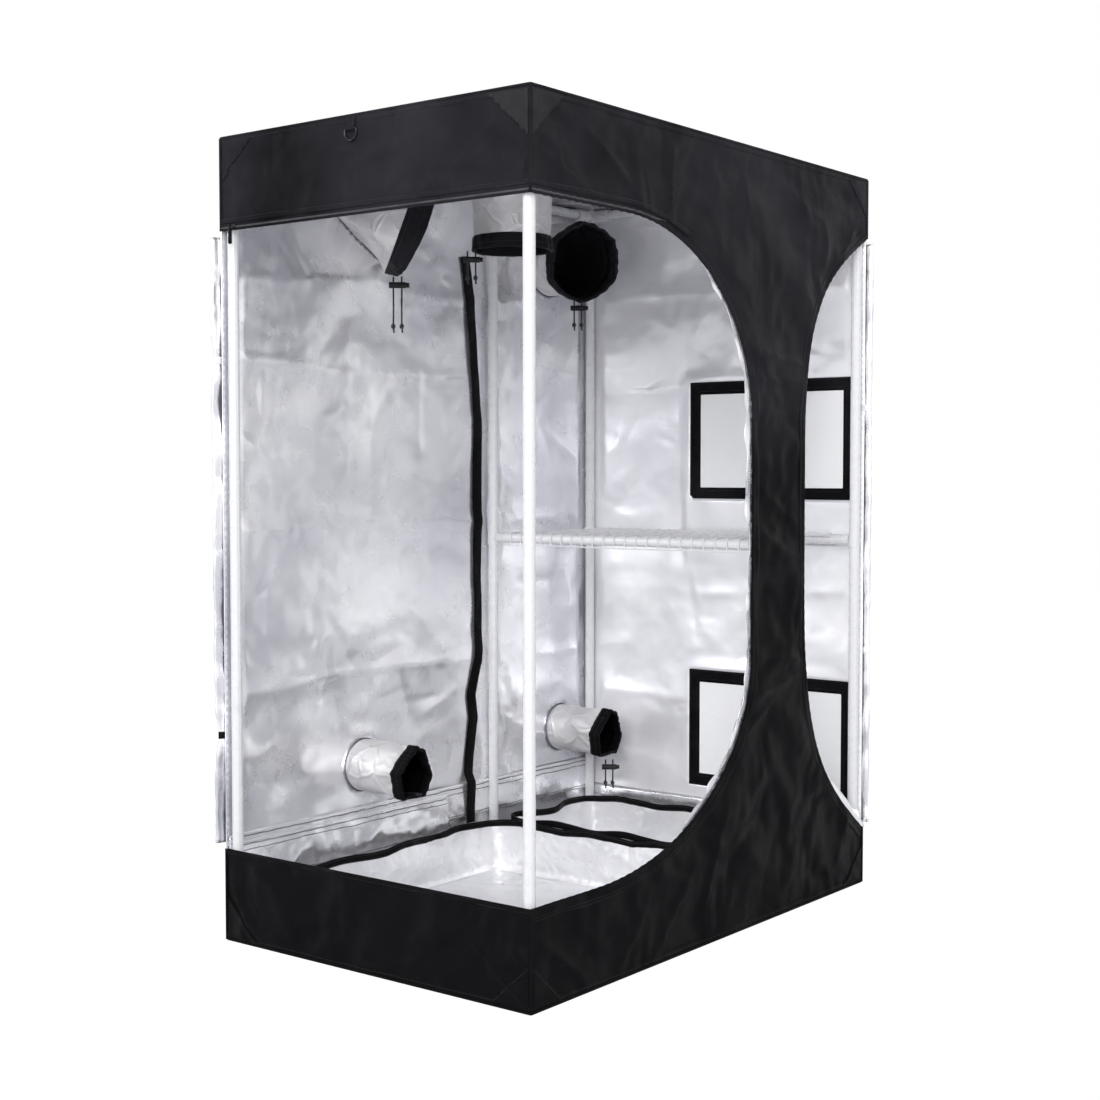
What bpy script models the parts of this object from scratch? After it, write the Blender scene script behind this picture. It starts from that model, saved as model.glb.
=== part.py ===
"""Indoor grow tent, two compartments, with its doors open and rolled away.

Metres, +Z up. The origin is the centre of the floor. The front, with the black column,
faces -Y, the open side is -X, the wall with the two vents is +X and the ducts are on +Y.
"""

import math

import bmesh
import bpy
from mathutils import Matrix, Vector

# Overall size over the cloth
TENT_WIDTH = 1.030
TENT_DEPTH = 0.660
TENT_HEIGHT = 1.350

# Cloth and clearances
CLOTH = 0.0012
SEAT_GAP = 0.0003
CUT_OVERRUN = 0.004
WELD = 0.000001

# Poles and connectors
POLE_DIAMETER = 0.019
SOCKET_WALL = 0.0027
SOCKET_REACH = 0.050
SOCKET_STOP = 0.0130
GUSSET_REACH = 0.034
GUSSET_THICKNESS = 0.003
DIVIDE_X = 0.177

# Bars that hang across the roof
BAR_DIAMETER = 0.012
BAR_CLIP_WIDTH = 0.020
BAR_PLACE_SHARES = (-0.7385, -0.2595)
CLIP_WALL = 0.0015
CLIP_MOUTH_SHARE = 0.22

# Wire shelf and its two rails
SHELF_RAIL_HEIGHT = 0.664
RAIL_CLIP_HEIGHT = 0.026
SHELF_WIRE = 0.0025
SHELF_ROD = 0.005
SHELF_LIP_ROD = 0.0029
SHELF_PITCH = 0.025
SHELF_LIP = 0.024
SHELF_BEND = 0.004
SHELF_END_MARGIN = 0.012
ROD_BITE = 0.0008

# Cloth bands and the front panel
TOP_BAND = 0.155
BASE_BAND = 0.157
COLUMN_LEFT = 0.077
COLUMN_RIGHT = 0.104
TOP_FLARE_WIDTH = 0.377
TOP_FLARE_HEIGHT = 0.319
BASE_FLARE_WIDTH = 0.450
BASE_FLARE_HEIGHT = 0.322
SMALL_DOOR_TOP = 0.112
SMALL_DOOR_BASE = 0.108
SMALL_FLARE_TOP = 0.388
SMALL_FLARE_BASE = 0.492
SMALL_TOP_PULL = 0.250
SMALL_TOP_LEAN = (0.150, 0.078)
SMALL_BASE_PULL = 0.300
SMALL_BASE_LEAN = (0.170, 0.117)
TAPE_WIDTH = 0.032
TAPE_OFFSET = 0.040
TAPE_TOP = 0.100
TAPE_THICKNESS = 0.0014
POCKET_THICKNESS = 0.0010
POCKET_HEIGHT = 0.067
POCKET_BASE = 0.112

# Vents in the right wall
VENT_WIDTH = 0.372
VENT_HEIGHT = 0.235
VENT_BORDER = 0.025
VENT_FRONT_MARGIN = 0.024
VENT_HEIGHTS = (0.2675, 0.8575)
VENT_CORNER = 0.008
MESH_THICKNESS = 0.0005
FLAP_OVERLAP = 0.004

# Duct sleeves
SMALL_DUCT = 0.094
LARGE_DUCT = 0.144
SLEEVE_WALL = 0.0016
SLEEVE_FLANGE = 0.012
COLLAR_LENGTH = 0.026
COLLAR_RAISE = 0.0016
LOWER_DUCT_HEIGHT = 0.255
UPPER_DUCT_DROP = 0.118
LEFT_DUCT_MARGIN = 0.332
RIGHT_DUCT_MARGIN = 0.103
UPPER_RIGHT_DUCT_MARGIN = 0.143
ROOF_DUCT_PLACE = (0.021, 0.140)
SMALL_SLEEVE = 0.132
LARGE_SLEEVE = 0.112
ROOF_SLEEVE = 0.146
STRAIGHT_OFFSET = (0.0, -1.0, -0.04)
STRAIGHT_FACING = (0.10, -1.0, -0.06)
LEFT_BEND_OFFSET = (0.24, -1.0, -0.16)
LEFT_BEND_FACING = (0.56, -0.72, -0.40)
RIGHT_BEND_OFFSET = (-0.18, -1.0, -0.12)
RIGHT_BEND_FACING = (-0.55, -0.80, -0.15)

# Drawcords and their cord locks
CORD_DIAMETER = 0.0028
CORD_SPACING = 0.015
CORD_TURN = 0.006
KNOT_DIAMETER = 0.007
KNOT_DROP = 0.010
LOCK_DIAMETER = 0.011
LOCK_LENGTH = 0.030
LOCK_BUTTON_DIAMETER = 0.0085
LOCK_BUTTON_LENGTH = 0.006
LOCK_BORE = 0.0038
LOCK_DROP = 0.004
LOCK_HEADING = -52.0
LONG_TAIL = 0.100
SHORT_TAIL = 0.060

# Floor trays
TRAY_WALL = 0.0014
TRAY_HEIGHT = 0.100
TRAY_CORNER = 0.030
TRAY_CLEARANCE = 0.001
TRAY_WAVE = 0.006
TRAY_RIPPLE = 0.003
TRAY_WAVE_PITCH = 0.110

# Doors rolled into flat bundles
MAIN_BUNDLE = (0.092, 0.016)
SMALL_BUNDLE = (0.030, 0.012)
BUNDLE_END_GAP = 0.010
TIE_SHARES = (0.27, 0.73)
TIE_REACH = 0.040
TIE_SQUEEZE_SHARE = 0.18
FOLD_DEPTH_SHARE = 0.16

# D-ring and its webbing tab
RING_WIRE = 0.003
RING_WIDTH = 0.025
RING_DROP = 0.012
RING_PLACE_Y = 0.025
RING_BAR_DEPTH = 0.022
TAB_WIDTH = 0.018
TAB_THICKNESS = 0.0012
TAB_HEM = 0.003

# Zip slider and pull
SLIDER_LENGTH = 0.012
SLIDER_HEIGHT = 0.009
SLIDER_THICKNESS = 0.004
SLIDER_WIRE = 0.002
SLIDER_ARCH = 0.004
SLIDER_END_GAP = 0.030
SLIDER_BAND_OVERLAP = 0.004
PULL_LENGTH = 0.028
PULL_WIDTH = 0.007
PULL_THICKNESS = 0.0018

# Facets
POLE_SIDES = 12
CORD_SIDES = 8
WIRE_SIDES = 6
SLEEVE_SIDES = 16
ARC_STEPS = 10
TRAY_POINTS = 60
BUNDLE_SIDES = 20
BUNDLE_LEVELS = 10

# Places worked out from the sizes above
POLE_R = POLE_DIAMETER / 2
SOCKET_R = POLE_R + SEAT_GAP + SOCKET_WALL
CORNER_INSET = CLOTH + SEAT_GAP + SOCKET_R
HALF_W = TENT_WIDTH / 2
HALF_D = TENT_DEPTH / 2
POST_X = HALF_W - CORNER_INSET
POST_Y = HALF_D - CORNER_INSET
LOW_Z = CORNER_INSET
HIGH_Z = TENT_HEIGHT - CORNER_INSET
WALL_LOW = CLOTH + SEAT_GAP
WALL_HIGH = TENT_HEIGHT - CLOTH - SEAT_GAP
SIDE_HALF = HALF_D - CLOTH - SEAT_GAP
BACK_FACE_Y = HALF_D - CLOTH
VENT_CENTRE_Y = -HALF_D + VENT_FRONT_MARGIN + VENT_WIDTH / 2
CLIP_INNER = POLE_R + SEAT_GAP
CLIP_OUTER = CLIP_INNER + CLIP_WALL


def reset_scene():
    for obj in list(bpy.data.objects):
        bpy.data.objects.remove(obj, do_unlink=True)


def collection(name):
    made = bpy.data.collections.new(name)
    bpy.context.scene.collection.children.link(made)
    return made


reset_scene()
TENT = collection("indoor_grow_tent")
CUTTERS = collection("cutters")


def finish(name, color, roughness, metallic=0.0):
    """One Principled material."""
    mat = bpy.data.materials.new(name)
    mat.use_nodes = True
    shader = mat.node_tree.nodes["Principled BSDF"]
    shader.inputs["Base Color"].default_value = (*color, 1.0)
    shader.inputs["Roughness"].default_value = roughness
    shader.inputs["Metallic"].default_value = metallic
    return mat


def black_cloth(name):
    return finish(name + "_cloth", (0.016, 0.016, 0.018), 0.72)


def silver_film(name):
    return finish(name + "_film", (0.62, 0.63, 0.68), 0.28, 0.85)


def white_paint(name):
    return finish(name + "_paint", (0.83, 0.83, 0.85), 0.35)


def moulded_plastic(name):
    return finish(name + "_plastic", (0.80, 0.80, 0.82), 0.45)


def black_plastic(name):
    return finish(name + "_plastic", (0.020, 0.020, 0.022), 0.40)


def white_mesh(name):
    return finish(name + "_mesh", (0.80, 0.80, 0.82), 0.80)


def black_cord(name):
    return finish(name + "_cord", (0.012, 0.012, 0.014), 0.85)


def plated_wire(name):
    return finish(name + "_plate", (0.55, 0.55, 0.57), 0.25, 1.0)


def add(name, data, mat, group=TENT):
    """Puts an object with this data in a collection, wearing one material."""
    data.materials.clear()
    data.materials.append(mat)
    obj = bpy.data.objects.new(name, data)
    group.objects.link(obj)
    return obj


def mesh_from(bm, name):
    mesh = bpy.data.meshes.new(name)
    bmesh.ops.recalc_face_normals(bm, faces=bm.faces)
    bm.to_mesh(mesh)
    bm.free()
    return mesh


def smooth(mesh, angle=35.0):
    mesh.shade_smooth()
    mesh.set_sharp_from_angle(angle=math.radians(angle))


def clear_radius(radius, sides):
    """The corner radius of a faceted bore whose flats clear this radius."""
    return radius / math.cos(math.pi / sides)


def cylinder(bm, start, end, radius, sides, flats_square=False):
    """A capped cylinder from start to end, added to bm. It can have flats facing its side axes."""
    start, end = Vector(start), Vector(end)
    run = end - start
    turn = run.to_track_quat("Z", "Y").to_matrix().to_4x4()
    if flats_square:
        turn = turn @ Matrix.Rotation(math.pi / sides, 4, "Z")
    bmesh.ops.create_cone(
        bm,
        cap_ends=True,
        segments=sides,
        radius1=radius,
        radius2=radius,
        depth=run.length,
        matrix=Matrix.Translation((start + end) / 2) @ turn,
    )


def tube_curve(name, points, radius, sides, cyclic=False):
    """A curve with a round section along these points."""
    curve = bpy.data.curves.new(name, "CURVE")
    curve.dimensions = "3D"
    curve.bevel_depth = radius
    curve.bevel_resolution = (sides - 4) // 2
    curve.use_fill_caps = not cyclic
    spline = curve.splines.new("POLY")
    spline.points.add(len(points) - 1)
    for point, place in zip(spline.points, points):
        point.co = (*place, 1.0)
    spline.use_cyclic_u = cyclic
    spline.use_smooth = True
    return curve


def outline_curve(name, loops, thickness):
    """A flat outline with holes, in its own XY plane, centred on it in thickness."""
    curve = bpy.data.curves.new(name, "CURVE")
    curve.dimensions = "2D"
    curve.fill_mode = "BOTH"
    curve.extrude = thickness / 2
    for loop in loops:
        spline = curve.splines.new("POLY")
        spline.points.add(len(loop) - 1)
        for point, place in zip(spline.points, loop):
            point.co = (*place, 0.0, 1.0)
        spline.use_cyclic_u = True
    return curve


def as_mesh(obj):
    """The object's evaluated mesh with its caps welded, in place of a curve."""
    bpy.context.view_layer.update()
    graph = bpy.context.evaluated_depsgraph_get()
    mesh = bpy.data.meshes.new_from_object(obj.evaluated_get(graph))
    bm = bmesh.new()
    bm.from_mesh(mesh)
    bmesh.ops.remove_doubles(bm, verts=bm.verts, dist=WELD)
    bmesh.ops.recalc_face_normals(bm, faces=bm.faces)
    bm.to_mesh(mesh)
    bm.free()
    made = bpy.data.objects.new(obj.name, mesh)
    made.matrix_world = obj.matrix_world.copy()
    name, groups = obj.name, list(obj.users_collection)
    bpy.data.objects.remove(obj, do_unlink=True)
    for group in groups:
        group.objects.link(made)
    made.name = name
    return made


def hide(obj):
    """Makes an object a cutter."""
    for group in list(obj.users_collection):
        group.objects.unlink(obj)
    CUTTERS.objects.link(obj)
    obj.hide_render = True
    obj.display_type = "WIRE"
    return obj


def combine(obj, other, operation):
    step = obj.modifiers.new(other.name, "BOOLEAN")
    step.operation = operation
    step.solver = "EXACT"
    step.object = hide(other)


# Planes that the flat pieces are drawn in: the local X, Y and Z axes become these world axes.
FACING_FRONT = Matrix(((1, 0, 0), (0, 0, -1), (0, 1, 0))).to_4x4()
FACING_SIDE = Matrix(((0, 0, 1), (1, 0, 0), (0, 1, 0))).to_4x4()
FACING_UP = Matrix.Identity(4)


def arc(centre, radii, start, stop, steps=ARC_STEPS):
    """Points on an ellipse from one angle to another, in degrees."""
    points = []
    for i in range(steps + 1):
        a = math.radians(start + (stop - start) * i / steps)
        points.append((centre[0] + radii[0] * math.cos(a), centre[1] + radii[1] * math.sin(a)))
    return points


def circle(centre, radius, sides=SLEEVE_SIDES):
    return arc(centre, (radius, radius), 0, 360, sides)[:-1]


def bezier(points, steps=ARC_STEPS):
    """Points on a cubic curve with these four control points."""
    made = []
    for i in range(steps + 1):
        t = i / steps
        weights = ((1 - t) ** 3, 3 * t * (1 - t) ** 2, 3 * t * t * (1 - t), t**3)
        made.append(tuple(sum(w * p[k] for w, p in zip(weights, points)) for k in (0, 1)))
    return made


def rectangle(low, high):
    return [low, (high[0], low[1]), high, (low[0], high[1])]


def rounded(low, high, radius, steps=4):
    """A rectangle with round corners."""
    x = (low[0] + radius, high[0] - radius)
    y = (low[1] + radius, high[1] - radius)
    corners = ((x[1], y[0], -90), (x[1], y[1], 0), (x[0], y[1], 90), (x[0], y[0], 180))
    loop = []
    for cx, cy, start in corners:
        loop += arc((cx, cy), (radius, radius), start, start + 90, steps)
    return loop


def panel(name, loops, place, facing, mat, thickness=CLOTH):
    """A flat panel whose middle plane passes through place."""
    obj = add(name, outline_curve(name, loops, thickness), mat)
    obj.matrix_world = Matrix.Translation(place) @ facing
    return obj


# Frame

def corner_mesh():
    """A three-way connector for the corner at low x, low y and low z: a block with three sockets."""
    bm = bmesh.new()
    bmesh.ops.create_cube(bm, size=2 * SOCKET_R)
    body = add("corner_form", mesh_from(bm, "corner_form"), moulded_plastic("corner_form"))
    directions = (Vector((1, 0, 0)), Vector((0, 1, 0)), Vector((0, 0, 1)))
    for axis in directions:
        bm = bmesh.new()
        cylinder(bm, axis * SOCKET_R / 2, axis * SOCKET_REACH, SOCKET_R, POLE_SIDES, True)
        arm = add("corner_arm", mesh_from(bm, "corner_arm"), moulded_plastic("corner_arm"))
        combine(body, arm, "UNION")
    triangle = [(0, 0), (GUSSET_REACH, 0), (0, GUSSET_REACH)]
    web_turns = (
        Matrix(((1, 0, 0), (0, 0, -1), (0, 1, 0))).to_4x4(),
        Matrix(((0, 0, 1), (1, 0, 0), (0, 1, 0))).to_4x4(),
    )
    for turn in web_turns:
        web = panel("corner_web", [triangle], (0, 0, 0), turn, moulded_plastic("web"), GUSSET_THICKNESS)
        combine(body, as_mesh(web), "UNION")
    for axis in directions:
        bm = bmesh.new()
        start, end = axis * SOCKET_STOP, axis * (SOCKET_REACH + CUT_OVERRUN)
        cylinder(bm, start, end, clear_radius(POLE_R + SEAT_GAP, POLE_SIDES), POLE_SIDES)
        bore = add("corner_bore", mesh_from(bm, "corner_bore"), moulded_plastic("corner_bore"))
        combine(body, bore, "DIFFERENCE")
    return frozen(body)


def tee_mesh():
    """A slip-on tee: a sleeve along X that the rail passes through, and a socket for a post."""
    bm = bmesh.new()
    cylinder(bm, (-SOCKET_REACH / 2, 0, 0), (SOCKET_REACH / 2, 0, 0), SOCKET_R, POLE_SIDES)
    body = add("tee_form", mesh_from(bm, "tee_form"), moulded_plastic("tee_form"))
    bm = bmesh.new()
    cylinder(bm, (0, 0, 0), (0, 0, SOCKET_REACH), SOCKET_R, POLE_SIDES)
    combine(body, add("tee_arm", mesh_from(bm, "tee_arm"), moulded_plastic("tee_arm")), "UNION")
    half = SOCKET_REACH / 2 + CUT_OVERRUN
    runs = (
        (Vector((-half, 0, 0)), Vector((half, 0, 0))),
        (Vector((0, 0, SOCKET_STOP)), Vector((0, 0, SOCKET_REACH + CUT_OVERRUN))),
    )
    for start, end in runs:
        bm = bmesh.new()
        cylinder(bm, start, end, clear_radius(POLE_R + SEAT_GAP, POLE_SIDES), POLE_SIDES)
        bore = add("tee_bore", mesh_from(bm, "tee_bore"), moulded_plastic("tee_bore"))
        combine(body, bore, "DIFFERENCE")
    return frozen(body)


def frozen(obj):
    """The evaluated mesh of a form that several pieces share. The form itself is removed."""
    made = as_mesh(obj)
    mesh = made.data
    bpy.data.objects.remove(made, do_unlink=True)
    smooth(mesh)
    return mesh


def connectors():
    corner = corner_mesh()
    tee = tee_mesh()
    levels = (("base", LOW_Z, 1), ("top", HIGH_Z, -1))
    sides = (("left", -1), ("right", 1))
    depths = (("front", -1), ("back", 1))
    for level, z, up in levels:
        for depth, sy in depths:
            for side, sx in sides:
                name = f"{level}_{depth}_{side}_corner"
                obj = add(name, corner.copy(), moulded_plastic(name))
                obj.location = (sx * POST_X, sy * POST_Y, z)
                obj.scale = (-sx, -sy, up)
            name = f"{level}_{depth}_tee"
            obj = add(name, tee.copy(), moulded_plastic(name))
            obj.location = (DIVIDE_X, sy * POST_Y, z)
            obj.scale = (1, 1, up)


def pole(name, start, end):
    return add(name, tube_curve(name, [start, end], POLE_R, POLE_SIDES), white_paint(name))


def poles():
    """Posts and rails, each pushed into its sockets as far as their stops."""
    stop = SOCKET_STOP + SEAT_GAP
    places = {
        "front_left_post": (-POST_X, -POST_Y),
        "front_mid_post": (DIVIDE_X, -POST_Y),
        "front_right_post": (POST_X, -POST_Y),
        "back_left_post": (-POST_X, POST_Y),
        "back_mid_post": (DIVIDE_X, POST_Y),
        "back_right_post": (POST_X, POST_Y),
    }
    for name, (x, y) in places.items():
        pole(name, (x, y, LOW_Z + stop), (x, y, HIGH_Z - stop))
    for level, z in (("base", LOW_Z), ("top", HIGH_Z)):
        for depth, y in (("front", -POST_Y), ("back", POST_Y)):
            pole(f"{level}_{depth}_rail", (-POST_X + stop, y, z), (POST_X - stop, y, z))
        for side, x in (("left", -POST_X), ("right", POST_X)):
            pole(f"{level}_{side}_rail", (x, -POST_Y + stop, z), (x, POST_Y - stop, z))


def clip_loop(mouth_angle):
    """A C round a pole, open towards mouth_angle in degrees."""
    half = 180 * CLIP_MOUTH_SHARE
    start, stop = mouth_angle + half, mouth_angle + 360 - half
    radius = clear_radius(CLIP_INNER, POLE_SIDES)
    outer = arc((0, 0), (CLIP_OUTER, CLIP_OUTER), start, stop, POLE_SIDES)
    inner = arc((0, 0), (radius, radius), stop, start, POLE_SIDES)
    return outer + inner


def clipped_bar(name, mat, start, end, radius, facing, mouths, width):
    """A round bar whose two ends are joined to C clips centred on start and end."""
    run = (end - start).normalized()
    bite = CLIP_INNER + CLIP_WALL / 3
    bar = add(name, tube_curve(name, [start + run * bite, end - run * bite], radius, POLE_SIDES), mat)
    bar = as_mesh(bar)
    bar.data.materials.append(mat)
    for place, mouth in zip((start, end), mouths):
        clip = panel(name + "_clip", [clip_loop(mouth)], place, facing, mat, width)
        combine(bar, as_mesh(clip), "UNION")
    return bar


def hanging_bars():
    for i, share in enumerate(BAR_PLACE_SHARES, start=1):
        name = f"hanging_bar_{i}"
        x = POST_X * share
        start, end = Vector((x, -POST_Y, HIGH_Z)), Vector((x, POST_Y, HIGH_Z))
        clipped_bar(
            name, white_paint(name), start, end, BAR_DIAMETER / 2, FACING_SIDE, (-90, -90), BAR_CLIP_WIDTH
        )


def shelf_rails():
    for side, x in (("left", DIVIDE_X), ("right", POST_X)):
        name = f"shelf_{side}_rail"
        start = Vector((x, -POST_Y, SHELF_RAIL_HEIGHT))
        end = Vector((x, POST_Y, SHELF_RAIL_HEIGHT))
        clipped_bar(name, white_paint(name), start, end, POLE_R, FACING_UP, (-90, 90), RAIL_CLIP_HEIGHT)


def joined(name, pieces, group=CUTTERS):
    """One mesh object made of several curve objects, welded piece by piece."""
    bm = bmesh.new()
    for piece in pieces:
        made = as_mesh(piece)
        part = made.data.copy()
        part.transform(made.matrix_world)
        bm.from_mesh(part)
        bpy.data.objects.remove(made, do_unlink=True)
    mesh = mesh_from(bm, name)
    obj = bpy.data.objects.new(name, mesh)
    group.objects.link(obj)
    return obj


def shelf():
    """Deck wires that hook over both rails, welded to rods that run front to back."""
    name = "wire_shelf"
    mat = white_paint(name)
    wire_r, rod_r = SHELF_WIRE / 2, SHELF_ROD / 2
    reach = POLE_R + SEAT_GAP + wire_r
    left, right = DIVIDE_X - reach, POST_X + reach
    top = SHELF_RAIL_HEIGHT + reach
    low = top - SHELF_LIP
    half = POST_Y - SOCKET_R - SHELF_END_MARGIN
    count = 2 * int(half / SHELF_PITCH)
    profile = [
        (left, low),
        (left, top - SHELF_BEND),
        (left + SHELF_BEND, top),
        (right - SHELF_BEND, top),
        (right, top - SHELF_BEND),
        (right, low),
    ]
    wires = []
    for i in range(count):
        y = (i - (count - 1) / 2) * SHELF_PITCH
        route = [(x, y, z) for x, z in profile]
        wires.append(add(f"wire_{i}", tube_curve("wire", route, wire_r, WIRE_SIDES), mat))
    end = (count - 1) / 2 * SHELF_PITCH + SHELF_PITCH / 4
    rod_z = top - wire_r - rod_r + ROD_BITE
    inner = POLE_R + 2 * SEAT_GAP + rod_r
    deck_rods = (DIVIDE_X + inner, (DIVIDE_X + POST_X) / 2, POST_X - inner)
    rods = [(x, rod_z, rod_r) for x in deck_rods]
    rods += [(x, low, SHELF_LIP_ROD / 2) for x in (left, right)]
    bars = []
    for i, (x, z, r) in enumerate(rods):
        bars.append(add(f"rod_{i}", tube_curve("rod", [(x, -end, z), (x, end, z)], r, WIRE_SIDES), mat))
    body = joined(name, bars, TENT)
    body.data.materials.append(mat)
    combine(body, joined("shelf_wires", wires), "UNION")


# Cloth shell

def flare(corner_x, low_z, width, height, upward):
    """A quarter ellipse from a level edge into the side of the column."""
    if upward:
        return arc((corner_x - width, low_z), (width, height), 90, 0)
    return arc((corner_x - width, low_z), (width, height), 0, -90)


def front_panel():
    """Top band, column and base band of the front, in one piece of cloth."""
    left = DIVIDE_X - COLUMN_LEFT
    right = DIVIDE_X + COLUMN_RIGHT
    band_low = TENT_HEIGHT - TOP_BAND
    upper = flare(left, band_low - TOP_FLARE_HEIGHT, TOP_FLARE_WIDTH, TOP_FLARE_HEIGHT, True)
    lower = flare(left, BASE_BAND + BASE_FLARE_HEIGHT, BASE_FLARE_WIDTH, BASE_FLARE_HEIGHT, False)
    top_z = TENT_HEIGHT - SMALL_DOOR_TOP
    small_top = bezier((
        (HALF_W, top_z),
        (HALF_W - SMALL_TOP_LEAN[0], top_z - SMALL_TOP_LEAN[1]),
        (right, top_z - SMALL_FLARE_TOP + SMALL_TOP_PULL),
        (right, top_z - SMALL_FLARE_TOP),
    ))
    small_base = bezier((
        (right, SMALL_DOOR_BASE + SMALL_FLARE_BASE),
        (right, SMALL_DOOR_BASE + SMALL_FLARE_BASE - SMALL_BASE_PULL),
        (HALF_W - SMALL_BASE_LEAN[0], SMALL_DOOR_BASE + SMALL_BASE_LEAN[1]),
        (HALF_W, SMALL_DOOR_BASE),
    ))
    loop = [(-HALF_W, WALL_HIGH), (-HALF_W, band_low)] + upper + lower
    loop += [(-HALF_W, BASE_BAND), (-HALF_W, WALL_LOW), (HALF_W, WALL_LOW)]
    loop += list(reversed(small_base)) + list(reversed(small_top)) + [(HALF_W, WALL_HIGH)]
    place = (0, -HALF_D + CLOTH / 2, 0)
    panel("front_panel", [loop], place, FACING_FRONT, black_cloth("front_panel"))


def ring_tab():
    """Webbing folded into a loop for the D-ring, sewn to the top band."""
    hole = RING_WIRE / 2 + SEAT_GAP
    outer = hole + TAB_THICKNESS
    centre = ring_bar_place()
    top = TENT_HEIGHT - TAB_HEM
    inner_x = -HALF_W + CLOTH / 2
    loop = [(inner_x, top), (centre.x, top)]
    loop += arc((centre.x, centre.z), (outer, outer), 90, 270)
    loop += [(inner_x, centre.z - outer)]
    hole_loop = circle((centre.x, centre.z), clear_radius(hole, POLE_SIDES), POLE_SIDES)
    place = (0, RING_PLACE_Y, 0)
    cloth = black_cloth("ring_tab")
    return as_mesh(panel("ring_tab", [loop, hole_loop], place, FACING_FRONT, cloth, TAB_WIDTH))


def ring_bar_place():
    """The axis that the D-ring swings on."""
    outward = RING_WIRE / 2 + SEAT_GAP + TAB_THICKNESS
    return Vector((-HALF_W - outward, RING_PLACE_Y, TENT_HEIGHT - RING_BAR_DEPTH))


def left_bands():
    place = (-HALF_W + CLOTH / 2, 0, 0)
    name = "left_top_band"
    loop = rectangle((-SIDE_HALF, TENT_HEIGHT - TOP_BAND), (SIDE_HALF, WALL_HIGH))
    band = as_mesh(panel(name, [loop], place, FACING_SIDE, black_cloth(name)))
    combine(band, ring_tab(), "UNION")
    name = "left_base_band"
    loop = rectangle((-SIDE_HALF, WALL_LOW), (SIDE_HALF, BASE_BAND))
    panel(name, [loop], place, FACING_SIDE, black_cloth(name))


def vent_hole(height, margin=0.0):
    low = (VENT_CENTRE_Y - VENT_WIDTH / 2 - margin, height - VENT_HEIGHT / 2 - margin)
    high = (VENT_CENTRE_Y + VENT_WIDTH / 2 + margin, height + VENT_HEIGHT / 2 + margin)
    return low, high


def right_wall():
    loops = [rectangle((-SIDE_HALF, WALL_LOW), (SIDE_HALF, WALL_HIGH))]
    for height in VENT_HEIGHTS:
        low, high = vent_hole(height)
        loops.append(rounded(low, high, VENT_CORNER))
    place = (HALF_W - CLOTH / 2, 0, 0)
    panel("right_wall", loops, place, FACING_SIDE, silver_film("right_wall"))


def vents():
    """A bound net sewn into each hole, and a flap outside it that is sewn along its foot."""
    for level, height in zip(("lower", "upper"), VENT_HEIGHTS):
        name = f"{level}_vent_net"
        low, high = vent_hole(height, -SEAT_GAP)
        place = (HALF_W - CLOTH / 2, 0, 0)
        border = as_mesh(panel(name, [rounded(low, high, VENT_CORNER)], place, FACING_SIDE, white_mesh(name)))
        recess = (CLOTH - MESH_THICKNESS) / 2
        inner_low, inner_high = vent_hole(height, -VENT_BORDER)
        for side in (-1, 1):
            face = HALF_W - CLOTH / 2 + side * (CLOTH / 2 - recess / 2 + CUT_OVERRUN / 2)
            depth = recess + CUT_OVERRUN
            cut_name = f"{level}_net_recess"
            loop = rectangle(inner_low, inner_high)
            cut = panel(cut_name, [loop], (face, 0, 0), FACING_SIDE, white_mesh(cut_name), depth)
            combine(border, as_mesh(cut), "DIFFERENCE")
        name = f"{level}_vent_flap"
        low, high = vent_hole(height, FLAP_OVERLAP)
        place = (HALF_W + SEAT_GAP + CLOTH / 2, 0, 0)
        panel(name, [rounded(low, high, VENT_CORNER)], place, FACING_SIDE, black_cloth(name))


def duct_places():
    """Name, wall place, bore, direction of the mouth's place and direction it faces, for each wall duct."""
    low, high = LOWER_DUCT_HEIGHT, TENT_HEIGHT - UPPER_DUCT_DROP
    left = LEFT_DUCT_MARGIN - HALF_W
    right, upper_right = HALF_W - RIGHT_DUCT_MARGIN, HALF_W - UPPER_RIGHT_DUCT_MARGIN
    return (
        ("lower_left", (left, low), SMALL_DUCT, STRAIGHT_OFFSET, STRAIGHT_FACING),
        ("lower_right", (right, low), SMALL_DUCT, STRAIGHT_OFFSET, STRAIGHT_FACING),
        ("upper_left", (left, high), LARGE_DUCT, LEFT_BEND_OFFSET, LEFT_BEND_FACING),
        ("upper_right", (upper_right, high), LARGE_DUCT, RIGHT_BEND_OFFSET, RIGHT_BEND_FACING),
    )


def back_wall():
    """The wall with four duct holes, a strip for the divider and a sewn pocket along its foot."""
    name = "back_wall"
    mat = silver_film(name)
    loops = [rectangle((-HALF_W, WALL_LOW), (HALF_W, WALL_HIGH))]
    for _, centre, bore, _, _ in duct_places():
        loops.append(circle(centre, bore / 2))
    wall = as_mesh(panel(name, loops, (0, HALF_D - CLOTH / 2, 0), FACING_FRONT, mat))
    depth = TAPE_THICKNESS + CLOTH / 2
    place = (0, BACK_FACE_Y - TAPE_THICKNESS + depth / 2, 0)
    centre_x = DIVIDE_X - TAPE_OFFSET
    tape_low = (centre_x - TAPE_WIDTH / 2, BASE_BAND / 2)
    tape_high = (centre_x + TAPE_WIDTH / 2, TENT_HEIGHT - TAPE_TOP)
    tape = panel("divider_strip", [rectangle(tape_low, tape_high)], place, FACING_FRONT, mat, depth)
    combine(wall, as_mesh(tape), "UNION")
    reach = HALF_W - CLOTH - SEAT_GAP
    pocket = [rectangle((-reach, POCKET_BASE), (reach, POCKET_BASE + POCKET_HEIGHT))]
    place = (0, BACK_FACE_Y - POCKET_THICKNESS + depth / 2, 0)
    combine(wall, as_mesh(panel("pocket", pocket, place, FACING_FRONT, mat, depth)), "UNION")


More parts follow.
